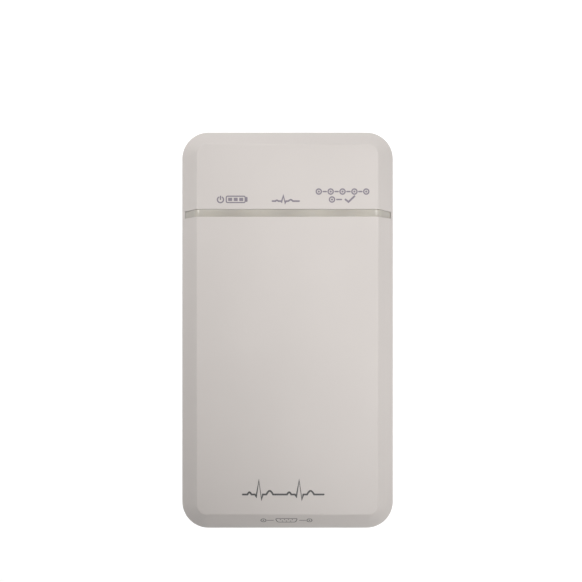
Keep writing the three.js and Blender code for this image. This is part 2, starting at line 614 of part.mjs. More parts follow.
piece('jackscrew_right', jackscrew(JACK_X), nickel);
piece('jack_nut_left', jackNut(-JACK_X), nickel);
piece('jack_nut_right', jackNut(JACK_X), nickel);
// left cell: positive end towards the top end; right cell the other way round
const nubLeft = BAY_Y1 - CONTACT_T - DIMPLE;
const nubRight = BAY_Y0 + CONTACT_T + DIMPLE;
piece('battery_cell_left', cell(-CELL_X, nubLeft, 1), cellSkin);
piece('battery_cell_right', cell(CELL_X, nubRight, -1), cellSkin);
piece('link_contact', link(), nickel);
piece('positive_contact', contact(-CELL_X, true), nickel);
piece('negative_contact', contact(CELL_X, false), nickel);
piece('battery_spring_left', coil(-CELL_X, BAY_Y0 + CONTACT_T, nubLeft - CELL_L), nickel);
piece('battery_spring_right', coil(CELL_X, BAY_Y1 - CONTACT_T, nubRight + CELL_L), nickel);

export default part;
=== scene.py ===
import math

import bpy
import bmesh
from mathutils import Matrix, Vector
from mathutils.geometry import tessellate_polygon


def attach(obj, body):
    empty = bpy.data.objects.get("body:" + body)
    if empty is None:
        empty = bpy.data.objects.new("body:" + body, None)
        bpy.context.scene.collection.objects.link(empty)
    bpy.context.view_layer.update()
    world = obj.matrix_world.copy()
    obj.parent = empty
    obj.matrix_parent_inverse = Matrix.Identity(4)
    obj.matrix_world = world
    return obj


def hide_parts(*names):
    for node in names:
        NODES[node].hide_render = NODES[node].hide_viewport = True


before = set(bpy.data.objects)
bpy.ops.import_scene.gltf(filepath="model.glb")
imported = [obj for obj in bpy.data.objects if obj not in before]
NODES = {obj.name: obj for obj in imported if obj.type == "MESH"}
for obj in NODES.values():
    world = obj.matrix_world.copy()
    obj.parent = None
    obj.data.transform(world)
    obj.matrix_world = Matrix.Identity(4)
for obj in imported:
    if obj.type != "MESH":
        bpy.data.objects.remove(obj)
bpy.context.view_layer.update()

sc = bpy.context.scene

# ------------------------------------------------------------------ dimensions, in millimetres

W, L, R_CORNER = 80.0, 150.0, 10.0
Z_BACK, Z_PART, Z_FACE, WALL = 1.0, 14.5, 29.0, 2.2
CH_LAT, CH_DROP, R_SHOULDER, R_BACK = 5.2, 5.0, 3.6, 3.2
THETA = math.atan2(CH_DROP, CH_LAT)
NORMAL = THETA                                     # tilt of the chamfer's normal from +Z
SHOULDER_LAT = R_SHOULDER * (1 - math.sin(THETA))
MARGIN = CH_LAT + SHOULDER_LAT
HALF_FACE = W / 2 - MARGIN
R_FACE_EDGE = 0.85

BAR_Y0, BAR_Y1, BAR_SUNK, BAR_DEPTH, BAR_RUN, BAR_TAPER = 41.83, 44.6, 0.3, 1.2, 7.2, 0.15
GROOVE_GAP, GROOVE_DEPTH, GROOVE_RUN = 0.02, 1.3, 7.25
BAR_RUN_LEFT, GROOVE_RUN_LEFT = 6.68, 6.74           # the bar sits a touch to the left in its groove
LAMP_X = (-20.4, 0.0, 20.4)

COVER_SCREWS = ((-32.5, 66), (32.5, 66), (-32.5, -66), (32.5, -66))
BOARD_SCREWS = ((-31, 50), (31, 50), (-31, -50), (31, -50))
FEET = {"foot_top_left": (-31, 52), "foot_top_right": (31, 52), "foot_bottom_left": (-31, -52), "foot_bottom_right": (31, -52)}

SOCKET_Z, POCKET_HW, POCKET_HH = 13.3, 21.75, 8.3
PANEL_Y0, PANEL_Y1, PANEL_HW, PANEL_HH = -68.4, -66.8, 23.0, 9.2
FLANGE_HW, FLANGE_HH, FLANGE_T = 19.57, 6.275, 1.0
SHELL_HW, SHELL_HH, SHELL_T, SHELL_TIP = 12.33, 3.95, 0.4, -72.9
JACK_X, PIN_PITCH, PIN_ROW = 16.66, 2.77, 1.42

BAY_HW, BAY_Y0, BAY_Y1, BAY_Z1, BAY_WALL = 15.4, 12.0, 70.0, 18.2, 1.4
CELL_R, CELL_L, CELL_X, CELL_Z = 7.25, 50.5, 7.7, 10.45

DOOR_HW, DOOR_Y0, DOOR_T, TONGUE, DOOR_LIP_Z, DOOR_GAP = 20.0, 9.0, 1.8, 1.5, 9.0, 0.2
KEY_Y, KEY_Z, KEY_L, KEY_H, KEY_GAP = 23.0, 18.0, 14.0, 4.6, 0.22

# ------------------------------------------------------------------ camera, at the photograph's angle

# Straight down on the front face, image up is +Y. One pixel is PX mm on the face.
PX = 0.3707
CAM_ABOVE_FACE = 295.0
AXIS_ROW = 364.0                                    # the row that the lens axis meets
MIDDLE_COL, MIDDLE_ROW = 287.5, 329.4               # the pixel that the middle of the face is at
cam_data = bpy.data.cameras.new("camera")
camera = bpy.data.objects.new("camera", cam_data)
sc.collection.objects.link(camera)
sc.camera = camera
cam_data.sensor_width = 36.0
cam_data.lens = 36.0 * CAM_ABOVE_FACE / (582 * PX)
cam_data.shift_y = (AXIS_ROW - 291.0) / 582.0
cam_data.clip_start, cam_data.clip_end = 0.01, 10.0
camera.location = ((291 - MIDDLE_COL) * PX * 0.001, (MIDDLE_ROW - AXIS_ROW) * PX * 0.001, (Z_FACE + CAM_ABOVE_FACE) * 0.001)
camera.rotation_euler = (0.0, 0.0, 0.0)

# ------------------------------------------------------------------ mesh helpers, all in millimetres


def obj_from(name, verts, faces):
    me = bpy.data.meshes.new(name)
    me.from_pydata([tuple(v) for v in verts], [], faces)
    me.validate()
    ob = bpy.data.objects.new(name, me)
    sc.collection.objects.link(ob)
    return ob


def rrect(w, l, r, n, cx=0.0, cy=0.0):
    """Rounded rectangle, counter-clockwise, n segments in each corner."""
    out = []
    for sx, sy, a0 in ((1, -1, -90), (1, 1, 0), (-1, 1, 90), (-1, -1, 180)):
        ox, oy = cx + sx * (w / 2 - r), cy + sy * (l / 2 - r)
        for k in range(n + 1):
            a = math.radians(a0 + 90.0 * k / n)
            out.append((ox + r * math.cos(a), oy + r * math.sin(a)))
    return out


def circle(r, n, cx=0.0, cy=0.0, turn=0.0):
    return [(cx + r * math.cos(2 * math.pi * k / n + turn), cy + r * math.sin(2 * math.pi * k / n + turn)) for k in range(n)]


def loft(name, rings, closed=True):
    """Rings of equal length, each counter-clockwise about the way they go; both ends are capped."""
    n = len(rings[0])
    verts = [p for ring in rings for p in ring]
    faces = []
    for i in range(len(rings) - 1):
        for j in range(n):
            k = (j + 1) % n
            faces.append((i * n + j, i * n + k, (i + 1) * n + k, (i + 1) * n + j))
    faces.append(tuple(reversed(range(n))))
    faces.append(tuple((len(rings) - 1) * n + j for j in range(n)))
    return obj_from(name, verts, faces)


def up(ring, z):
    return [(x, y, z) for x, y in ring]


def along_y(ring, y):
    """Outline in X and Z, placed at y; the loft then goes towards -Y."""
    return [(x, y, z) for x, z in ring]


def along_x(ring, x):
    """Outline in Y and Z, placed at x; the loft goes towards +X."""
    return [(x, y, z) for y, z in ring]


def prism_z(ring, z0, z1, name="t"):
    return loft(name, [up(ring, z0), up(ring, z1)])


def prism_y(ring, y0, y1, name="t"):
    return loft(name, [along_y(ring, y1), along_y(ring, y0)])


def prism_x(ring, x0, x1, name="t"):
    return loft(name, [along_x(ring, x0), along_x(ring, x1)])


def box(x0, x1, y0, y1, z0, z1, name="t"):
    return prism_z([(x0, y0), (x1, y0), (x1, y1), (x0, y1)], z0, z1, name)


def cyl_z(r, x, y, z0, z1, n=32, r1=None):
    return loft("t", [up(circle(r, n, x, y), z0), up(circle(r if r1 is None else r1, n, x, y), z1)])


def cyl_y(r, x, z, y0, y1, n=32, r0=None):
    """r at y1, r0 at y0."""
    return loft("t", [along_y(circle(r, n, x, z), y1), along_y(circle(r if r0 is None else r0, n, x, z), y0)])


def turned(name, profile, n=48):
    """Lathe about Z. The profile is [(r, z)] from the axis at the bottom to the axis at the top."""
    verts, faces, idx = [], [], []
    for r, z in profile:
        if r < 1e-9:
            idx.append([len(verts)])
            verts.append((0, 0, z))
        else:
            idx.append(list(range(len(verts), len(verts) + n)))
            verts += [(r * math.cos(2 * math.pi * k / n), r * math.sin(2 * math.pi * k / n), z) for k in range(n)]
    for a, b in zip(idx, idx[1:]):
        for k in range(n):
            j = (k + 1) % n
            if len(a) == 1 and len(b) == 1:
                continue
            if len(a) == 1:
                faces.append((a[0], b[j], b[k]))
            elif len(b) == 1:
                faces.append((a[k], a[j], b[0]))
            else:
                faces.append((a[k], a[j], b[j], b[k]))
    ob = obj_from(name, verts, faces)
    bm = bmesh.new()
    bm.from_mesh(ob.data)
    bmesh.ops.recalc_face_normals(bm, faces=bm.faces)
    bm.to_mesh(ob.data)
    bm.free()
    return ob


def drop(ob):
    me = ob.data
    bpy.data.objects.remove(ob)
    if me.users == 0:
        bpy.data.meshes.remove(me)


def boolean(a, b, how):
    m = a.modifiers.new("b", "BOOLEAN")
    m.operation, m.solver, m.object = how, "EXACT", b
    bpy.context.view_layer.update()
    dg = bpy.context.evaluated_depsgraph_get()
    me = bpy.data.meshes.new_from_object(a.evaluated_get(dg))
    a.modifiers.clear()
    old = a.data
    a.data = me
    bpy.data.meshes.remove(old)
    drop(b)
    return a


def cut(a, *tools):
    for t in tools:
        boolean(a, t, "DIFFERENCE")
    return a


def add(a, *tools):
    for t in tools:
        boolean(a, t, "UNION")
    return a


def meet(a, *tools):
    for t in tools:
        boolean(a, t, "INTERSECT")
    return a


def merged(*obs):
    """Several separate bodies as one object."""
    bm = bmesh.new()
    for o in obs:
        bm.from_mesh(o.data)
    me = bpy.data.meshes.new("m")
    bm.to_mesh(me)
    bm.free()
    for o in obs:
        drop(o)
    ob = bpy.data.objects.new("m", me)
    sc.collection.objects.link(ob)
    return ob


def move(ob, x=0.0, y=0.0, z=0.0, matrix=None):
    if matrix is not None:
        ob.data.transform(matrix)
    ob.data.transform(Matrix.Translation((x, y, z)))
    return ob


def bevel(ob, width, segments=2, angle=40.0):
    m = ob.modifiers.new("bevel", "BEVEL")
    m.width, m.segments, m.limit_method, m.angle_limit = width, segments, "ANGLE", math.radians(angle)
    m.use_clamp_overlap = True
    m.harden_normals = False
    bpy.context.view_layer.update()
    dg = bpy.context.evaluated_depsgraph_get()
    me = bpy.data.meshes.new_from_object(ob.evaluated_get(dg))
    ob.modifiers.clear()
    old = ob.data
    ob.data = me
    bpy.data.meshes.remove(old)
    return ob


def finish_piece(ob, name, body, material, replaces=(), smooth=32.0, weighted=True):
    """Cleans the mesh, brings it to metres, shades it and hands it to its body."""
    ob.name = name
    ob.data.name = name
    bm = bmesh.new()
    bm.from_mesh(ob.data)
    bmesh.ops.remove_doubles(bm, verts=bm.verts, dist=1e-4)
    bmesh.ops.dissolve_degenerate(bm, dist=1e-5, edges=bm.edges)
    bm.to_mesh(ob.data)
    bm.free()
    ob.data.transform(Matrix.Scale(0.001, 4))
    ob.data.materials.clear()
    ob.data.materials.append(material)
    for p in ob.data.polygons:
        p.use_smooth = True
        p.material_index = 0
    ob.data.set_sharp_from_angle(angle=math.radians(smooth))
    if weighted:
        m = ob.modifiers.new("normals", "WEIGHTED_NORMAL")
        m.keep_sharp = True
        m.weight = 50
        m.mode = "FACE_AREA"
    if body:
        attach(ob, body)
    if replaces:
        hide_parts(*replaces)
    return ob


# ------------------------------------------------------------------ materials


def material(name):
    m = bpy.data.materials.new(name)
    m.use_nodes = True
    nt = m.node_tree
    b = nt.nodes["Principled BSDF"]
    return m, nt, b


def srgb(r, g, b):
    def f(v):
        v /= 255.0
        return v / 12.92 if v <= 0.04045 else ((v + 0.055) / 1.055) ** 2.4
    return (f(r), f(g), f(b), 1.0)


def scaled(c, k):
    return (min(1, c[0] * k), min(1, c[1] * k), min(1, c[2] * k), 1.0)


def coords(nt):
    return nt.nodes.new("ShaderNodeTexCoord").outputs["Object"]


def noise(nt, co, scale, detail=3.0, rough=0.55):
    n = nt.nodes.new("ShaderNodeTexNoise")
    n.inputs["Scale"].default_value = scale
    n.inputs["Detail"].default_value = detail
    n.inputs["Roughness"].default_value = rough
    nt.links.new(co, n.inputs["Vector"])
    return n.outputs["Fac"]


def ramp(nt, fac, stops):
    r = nt.nodes.new("ShaderNodeValToRGB")
    el = r.color_ramp.elements
    while len(el) < len(stops):
        el.new(0.5)
    for e, (pos, col) in zip(el, stops):
        e.position, e.color = pos, col
    nt.links.new(fac, r.inputs["Fac"])
    return r.outputs["Color"]


def span(nt, fac, a, b, c, d):
    """Maps a..b to c..d, clamped."""
    m = nt.nodes.new("ShaderNodeMapRange")
    for k, v in zip(("From Min", "From Max", "To Min", "To Max"), (a, b, c, d)):
        m.inputs[k].default_value = v
    nt.links.new(fac, m.inputs["Value"])
    return m.outputs["Result"]


def math_node(nt, op, a, b=None):
    m = nt.nodes.new("ShaderNodeMath")
    m.operation = op
    for i, v in enumerate((a, b)):
        if v is None:
            continue
        if isinstance(v, (int, float)):
            m.inputs[i].default_value = v
        else:
            nt.links.new(v, m.inputs[i])
    return m.outputs[0]


def bump(nt, b, height, strength, distance):
    n = nt.nodes.new("ShaderNodeBump")
    n.inputs["Strength"].default_value = strength
    n.inputs["Distance"].default_value = distance
    nt.links.new(height, n.inputs["Height"])
    nt.links.new(n.outputs["Normal"], b.inputs["Normal"])


def moulded(name, col, rough, grain=0.35, grain_scale=2600.0, tone=0.02):
    """Moulded plastic with a fine spark-eroded texture: small pits, slow tone drift."""
    m, nt, b = material(name)
    co = coords(nt)
    slow = noise(nt, co, 26.0, 2.0, 0.5)
    fine = noise(nt, co, grain_scale, 2.0, 0.6)
    nt.links.new(ramp(nt, slow, [(0.3, scaled(col, 1 - tone)), (0.7, scaled(col, 1 + tone))]), b.inputs["Base Color"])
    nt.links.new(span(nt, fine, 0.3, 0.7, rough - 0.05, rough + 0.06), b.inputs["Roughness"])
    bump(nt, b, fine, grain, 0.00004)
    b.inputs["Specular IOR Level"].default_value = 0.5
    return m


SHELL = srgb(194, 188, 184)
mat_front = moulded("front_shell_plastic", SHELL, 0.56)
mat_rear = moulded("rear_shell_plastic", srgb(192, 186, 181), 0.58)
mat_key = moulded("key_plastic", srgb(172, 167, 162), 0.5, grain=0.25)
mat_black = moulded("black_plastic", srgb(38, 38, 40), 0.5, grain=0.3)
mat_white_plastic = moulded("white_plastic", srgb(226, 222, 208), 0.42, grain=0.15)
mat_rubber = moulded("foot_rubber", srgb(54, 54, 56), 0.82, grain=0.5, grain_scale=1800.0, tone=0.06)


def make_light_guide():
    """Translucent bar, with painted shade: a little darker where it bridges the three lamp windows, and darker again
    over the two chamfers.
    """
    m, nt, b = material("light_guide")
    co = coords(nt)
    sep = nt.nodes.new("ShaderNodeSeparateXYZ")
    nt.links.new(co, sep.inputs[0])
    # painted shade: a mask that darkens the bar over each lamp window
    dark = None
    for x in LAMP_X:
        d = math_node(nt, "ABSOLUTE", math_node(nt, "SUBTRACT", sep.outputs["X"], x * 0.001))
        f = span(nt, d, 0.0015, 0.0085, 1.0, 0.0)
        dark = f if dark is None else math_node(nt, "MAXIMUM", dark, f)
    cloud = noise(nt, co, 60.0, 3.0, 0.6)
    mixed = math_node(nt, "ADD", math_node(nt, "MULTIPLY", dark, 0.75), math_node(nt, "MULTIPLY", cloud, 0.25))
    # painted shade: the bar is darker again over the two chamfers
    ends = span(nt, math_node(nt, "ABSOLUTE", sep.outputs["X"]), 0.0338, 0.0352, 0.0, 1.0)
    mixed = math_node(nt, "MAXIMUM", mixed, ends)
    nt.links.new(ramp(nt, mixed, [(0.05, srgb(182, 177, 168)), (0.85, srgb(172, 167, 159)), (1.0, srgb(169, 164, 156))]), b.inputs["Base Color"])
    fine = noise(nt, co, 900.0, 2.0, 0.5)
    nt.links.new(span(nt, fine, 0.3, 0.7, 0.16, 0.22), b.inputs["Roughness"])
    bump(nt, b, fine, 0.06, 0.00003)
    b.inputs["Subsurface Weight"].default_value = 0.35
    b.inputs["Subsurface Radius"].default_value = (1.0, 0.9, 0.75)
    b.inputs["Subsurface Scale"].default_value = 0.0012
    b.inputs["IOR"].default_value = 1.58
    return m


mat_bar = make_light_guide()


def printed(name, col, tone=0.05):
    """Pad-printed ink."""
    m, nt, b = material(name)
    co = coords(nt)
    f = noise(nt, co, 1500.0, 3.0, 0.6)
    nt.links.new(ramp(nt, f, [(0.3, scaled(col, 1 - tone)), (0.7, scaled(col, 1 + tone))]), b.inputs["Base Color"])
    nt.links.new(span(nt, f, 0.3, 0.7, 0.42, 0.55), b.inputs["Roughness"])
    return m


mat_ink = printed("legend_ink", srgb(124, 117, 127))
mat_ink_dark = printed("trace_ink", srgb(74, 73, 73))
mat_ink_key = printed("key_ink", srgb(236, 234, 230), 0.03)


def metal(name, col, rough, streak=0.06, scale=(900.0, 900.0, 900.0), metallic=1.0):
    m, nt, b = material(name)
    co = coords(nt)
    mp = nt.nodes.new("ShaderNodeMapping")
    mp.inputs["Scale"].default_value = scale
    nt.links.new(co, mp.inputs["Vector"])
    f = noise(nt, mp.outputs["Vector"], 1.0, 4.0, 0.6)
    nt.links.new(ramp(nt, f, [(0.3, scaled(col, 0.93)), (0.7, scaled(col, 1.05))]), b.inputs["Base Color"])
    nt.links.new(span(nt, f, 0.3, 0.7, rough - streak, rough + streak), b.inputs["Roughness"])
    b.inputs["Metallic"].default_value = metallic
    bump(nt, b, f, 0.06, 0.00003)
    return m


mat_nickel = metal("nickel_plate", srgb(205, 201, 192), 0.26)
mat_tin = metal("tinned_steel", srgb(202, 203, 203), 0.4, scale=(300.0, 1500.0, 300.0))
mat_steel = metal("screw_steel", srgb(190, 192, 194), 0.33)
mat_gold = metal("contact_gold", srgb(222, 186, 108), 0.24)
mat_alu = metal("bare_aluminium", srgb(205, 206, 208), 0.32)


def make_board():
    """Solder mask over copper: lanes of darker and lighter green, like traces."""
    m, nt, b = material("board_green")
    co = coords(nt)
    wave = nt.nodes.new("ShaderNodeTexWave")
    wave.wave_type, wave.bands_direction = "BANDS", "X"
    wave.inputs["Scale"].default_value = 160.0
    wave.inputs["Distortion"].default_value = 6.0
    wave.inputs["Detail"].default_value = 1.0
    wave.inputs["Detail Scale"].default_value = 0.6
    nt.links.new(co, wave.inputs["Vector"])
    nt.links.new(ramp(nt, wave.outputs["Fac"], [(0.42, srgb(22, 84, 52)), (0.5, srgb(34, 108, 66))]), b.inputs["Base Color"])
    f = noise(nt, co, 700.0, 2.0, 0.5)
    nt.links.new(span(nt, f, 0.3, 0.7, 0.3, 0.45), b.inputs["Roughness"])
    bump(nt, b, wave.outputs["Fac"], 0.15, 0.00004)
    return m


mat_board = make_board()


def make_label():
    """Blank foil label: a plain pale sheet with a thin grey border."""
    m, nt, b = material("blank_label")
    co = coords(nt)
    sep = nt.nodes.new("ShaderNodeSeparateXYZ")
    nt.links.new(co, sep.inputs[0])
    ex = math_node(nt, "SUBTRACT", 0.025, math_node(nt, "ABSOLUTE", sep.outputs["X"]))
    ey = math_node(nt, "SUBTRACT", 0.015, math_node(nt, "ABSOLUTE", math_node(nt, "ADD", sep.outputs["Y"], 0.027)))
    edge = math_node(nt, "MINIMUM", ex, ey)
    line = math_node(nt, "MULTIPLY", math_node(nt, "GREATER_THAN", edge, 0.0012), math_node(nt, "LESS_THAN", edge, 0.0015))
    f = noise(nt, co, 500.0, 3.0, 0.5)
    fac = math_node(nt, "ADD", math_node(nt, "MULTIPLY", line, 0.8), math_node(nt, "MULTIPLY", f, 0.12))
    nt.links.new(ramp(nt, fac, [(0.0, srgb(228, 226, 221)), (0.85, srgb(150, 150, 150))]), b.inputs["Base Color"])
    nt.links.new(span(nt, f, 0.3, 0.7, 0.36, 0.46), b.inputs["Roughness"])
    return m


mat_label = make_label()


def make_cell():
    """Printed sleeve of a dry cell: plain dark sleeve with one pale band; the ends take the same finish."""
    m, nt, b = material("cell_sleeve")
    co = coords(nt)
    sep = nt.nodes.new("ShaderNodeSeparateXYZ")
    nt.links.new(co, sep.inputs[0])
    f = noise(nt, co, 400.0, 3.0, 0.5)
    band = math_node(nt, "LESS_THAN", math_node(nt, "ABSOLUTE", math_node(nt, "SUBTRACT", sep.outputs["Y"], 0.041)), 0.004)
    fac = math_node(nt, "ADD", math_node(nt, "MULTIPLY", band, 0.8), math_node(nt, "MULTIPLY", f, 0.15))
    nt.links.new(ramp(nt, fac, [(0.0, srgb(52, 78, 98)), (0.85, srgb(196, 200, 202))]), b.inputs["Base Color"])
    nt.links.new(span(nt, f, 0.3, 0.7, 0.3, 0.38), b.inputs["Roughness"])
    b.inputs["Metallic"].default_value = 0.35
    return m


mat_cell = make_cell()

# ------------------------------------------------------------------ front cover

N = 20                                              # segments in each corner of the shell


def shell_ring(inset, z, n=N):
    return up(rrect(W - 2 * inset, L - 2 * inset, R_CORNER - inset, n), z)


def arc_profile(i0, z0, r, a0, a1, n):
    """Points of an arc in (inset, z), centred at (i0, z0); a is the normal's tilt from +Z."""
    out = []
    for k in range(n + 1):
        a = math.radians(a0 + (a1 - a0) * k / n)
        out.append((i0 - r * math.sin(a), z0 + r * math.cos(a)))
    return out


def front_profile(z_bottom=Z_PART):
    t = math.degrees(THETA)
    ft = R_FACE_EDGE * math.tan(THETA / 2)
    pts = arc_profile(MARGIN + ft, Z_FACE - R_FACE_EDGE, R_FACE_EDGE, 0, t, 6)
    zc = Z_FACE - CH_DROP - R_SHOULDER * math.cos(THETA)
    pts += arc_profile(R_SHOULDER, zc, R_SHOULDER, t, 90, 9)
    # a small reveal where the covers meet
    pts += [(0.0, Z_PART + 0.62), (0.05, Z_PART + 0.48), (0.17, Z_PART + 0.38), (0.38, Z_PART + 0.34), (0.38, z_bottom)]
    return pts


def corner_at(d):
    return (HALF_FACE - d * math.tan(THETA / 2), Z_FACE - d)


def on_chamfer(run, d):
    return (HALF_FACE + run * math.cos(THETA) - d * math.sin(THETA), Z_FACE - run * math.sin(THETA) - d * math.cos(THETA))


def face_path(d, run, bend_r, bends=8):
    """Right half of the line across the face at depth d: the flat, the rounded bend, the chamfer."""
    r = max(bend_r - d, 0.1)
    cx, cz = corner_at(d)
    back = r * math.tan(THETA / 2)
    pts = []
    for k in range(bends + 1):
        a = THETA * k / bends
        pts.append((cx - back + r * math.sin(a), cz - r + r * math.cos(a)))
    pts.append(on_chamfer(run + d * math.tan(THETA), d))       # upright end walls
    return pts


def sweep_across(name, section, run_left, run_right, bend_r):
    """Section [(y, depth)] swept across the face and down both chamfers, left to right."""
    cols = []
    mid, half = (BAR_Y0 + BAR_Y1) / 2, (BAR_Y1 - BAR_Y0) / 2

    def column(side, run, k, paths, last):
        narrow = BAR_TAPER * run / BAR_RUN if last else 0.0
        return [(side * paths[i][k][0], y - narrow * (y - mid) / half, paths[i][k][1]) for i, (y, _) in enumerate(section)]
    for side, run in ((-1, run_left), (1, run_right)):
        paths = [face_path(d, run, bend_r) for _, d in section]
        n = len(paths[0])
        order = reversed(range(n)) if side < 0 else range(n)
        for k in order:
            cols.append(column(side, run, k, paths, k == n - 1))
    ob = loft(name, cols)
    bm = bmesh.new()
    bm.from_mesh(ob.data)
    bmesh.ops.recalc_face_normals(bm, faces=bm.faces)
    bm.to_mesh(ob.data)
    bm.free()
    return ob


def flare_y(hw, hh, r, y_in, y_out, grow, n=5):
    """Flared mouth of a pocket in the bottom end."""
    return loft("t", [along_y(rrect(2 * hw, 2 * hh, r, n, 0, SOCKET_Z), y_in),
                      along_y(rrect(2 * (hw + grow), 2 * (hh + grow), r + grow, n, 0, SOCKET_Z), y_out)])


def pocket():
    return merged_union(
        prism_y(rrect(2 * POCKET_HW, 2 * POCKET_HH, 0.6, 5, 0, SOCKET_Z), -76, -65),
        flare_y(POCKET_HW, POCKET_HH, 0.6, -74.55, -75.25, 0.7))


def merged_union(a, b):
    return boolean(a, b, "UNION")


def panel_groove():
    return box(-PANEL_HW - 0.1, PANEL_HW + 0.1, PANEL_Y0 - 0.1, PANEL_Y1 + 0.1, SOCKET_Z - PANEL_HH - 0.1, SOCKET_Z + PANEL_HH + 0.1)


IN_W, IN_L, IN_R = W - 2 * WALL, L - 2 * WALL, R_CORNER - WALL


def make_front_cover():
    prof = list(reversed(front_profile()))
    s = loft("front", [shell_ring(i, z) for i, z in prof])
    ic = corner_at(WALL)
    inset = IN_W / 2 - ic[0]
    z_in = ic[1] - inset * CH_DROP / CH_LAT
    cavity = loft("t", [up(rrect(IN_W, IN_L, IN_R, 12), 13.0), up(rrect(IN_W, IN_L, IN_R, 12), z_in),
                        up(rrect(IN_W - 2 * inset, IN_L - 2 * inset, IN_R - inset, 12), ic[1])])
    cut(s, cavity)
    add(s, box(-24.4, 24.4, -73.4, -65.6, Z_PART, 23.3))
    for x, y in COVER_SCREWS:
        add(s, cyl_z(3.4, x, y, Z_PART, 26.0, 24))
    lip = prism_z(rrect(IN_W + 2.0, IN_L + 2.0, IN_R + 1.0, 12), 13.1, Z_PART + 0.8)
    cut(lip, prism_z(rrect(IN_W, IN_L, IN_R, 12), 12, Z_PART + 2), box(-26, 26, -76, -70, 12, 17), box(-23.7, 23.7, 70, 76, 12, 17))
    add(s, lip)
    cut(s, pocket(), panel_groove())
    for x, y in COVER_SCREWS:
        cut(s, cyl_z(1.25, x, y, 12.0, 24.0, 20))
    # key hole in the right-hand wall, with a softened edge
    hole = prism_x(rrect(KEY_L + 2 * KEY_GAP, KEY_H + 2 * KEY_GAP, 1.6, 8, KEY_Y, KEY_Z), 36.5, 41)
    flare = loft("t", [along_x(rrect(KEY_L + 2 * KEY_GAP, KEY_H + 2 * KEY_GAP, 1.6, 8, KEY_Y, KEY_Z), 39.7),
                       along_x(rrect(KEY_L + 2 * KEY_GAP + 0.9, KEY_H + 2 * KEY_GAP + 0.9, 2.05, 8, KEY_Y, KEY_Z), 40.15)])
    cut(s, hole, flare)
    # groove for the light bar, edges eased, and the lamp windows
    g0, g1, f, h = BAR_Y0 - GROOVE_GAP, BAR_Y1 + GROOVE_GAP, 0.15, 0.07
    section = [(g0 - f, -1.0), (g0 - f, -0.01), (g0 - 0.35 * f, 0.1 * f), (g0 - 0.1 * f, 0.35 * f), (g0, f), (g0, GROOVE_DEPTH),
               (g1, GROOVE_DEPTH), (g1, h), (g1 + 0.1 * h, 0.35 * h), (g1 + 0.35 * h, 0.1 * h), (g1 + h, -0.01), (g1 + h, -1.0)]
    cut(s, sweep_across("groove", section, GROOVE_RUN_LEFT, GROOVE_RUN, R_FACE_EDGE))
    for x in LAMP_X:
        cut(s, box(x - 3.5, x + 3.5, 42.1, 44.55, 25, 28.6))
    return finish_piece(s, "front_cover_shell", "housing", mat_front, ["front_cover"])


front = make_front_cover()

# ------------------------------------------------------------------ light bar


def make_light_bar():
    e, crown = 0.10, 0.08
    y0, y1, d0, d1 = BAR_Y0, BAR_Y1, BAR_SUNK - 0.20, BAR_DEPTH
    mid, half = (y0 + y1) / 2, (y1 - y0) / 2 - e
    top = [(mid + half * (k / 6 - 1), d0 + crown * (k / 6 - 1) ** 2) for k in range(13)]
    section = [(y0, d1), (y0, d0 + crown + e), (y0 + 0.3 * e, d0 + crown + 0.3 * e)] + top + [(y1 - 0.3 * e, d0 + crown + 0.3 * e), (y1, d0 + crown + e), (y1, d1)]
    s = sweep_across("bar", section, BAR_RUN_LEFT, BAR_RUN - 0.38, 3.0)
    # a low ledge at each end, seen in the gap
    ledge = [(y0, d1), (y0, 0.42), (y0 + 0.1, 0.32), (y1 - 0.1, 0.32), (y1, 0.42), (y1, d1)]
    add(s, sweep_across("ledge", ledge, GROOVE_RUN_LEFT - 0.02, GROOVE_RUN - 0.02, 3.0))
    for x in LAMP_X:
        add(s, box(x - 3.2, x + 3.2, 42.3, 44.35, 23.4, Z_FACE - BAR_DEPTH + 0.3))
    return finish_piece(s, "light_bar_guide", "housing", mat_bar, ["light_bar"])


bar = make_light_bar()

# ------------------------------------------------------------------ rear cover and battery door


def rear_profile():
    pts = []
    for k in range(9):
        a = math.radians(90.0 * k / 8)
        pts.append((R_BACK * (1 - math.sin(a)), Z_BACK + R_BACK * (1 - math.cos(a))))
    pts += [(0.0, Z_PART - 0.32), (0.06, Z_PART - 0.12), (0.22, Z_PART)]
    return pts


def rear_envelope():
    return loft("t", [shell_ring(i, z) for i, z in rear_profile()])


def door_opening(lo=0.0):
    g = DOOR_GAP
    return [box(-DOOR_HW - g, DOOR_HW + g, DOOR_Y0 - g, 76, lo, 3.0),
            box(-DOOR_HW - TONGUE - g, DOOR_HW + TONGUE + g, DOOR_Y0 - g, 76, 1.8, 3.0),
            box(-DOOR_HW - g, DOOR_HW + g, 72.8, 76, lo, DOOR_LIP_Z + g)]


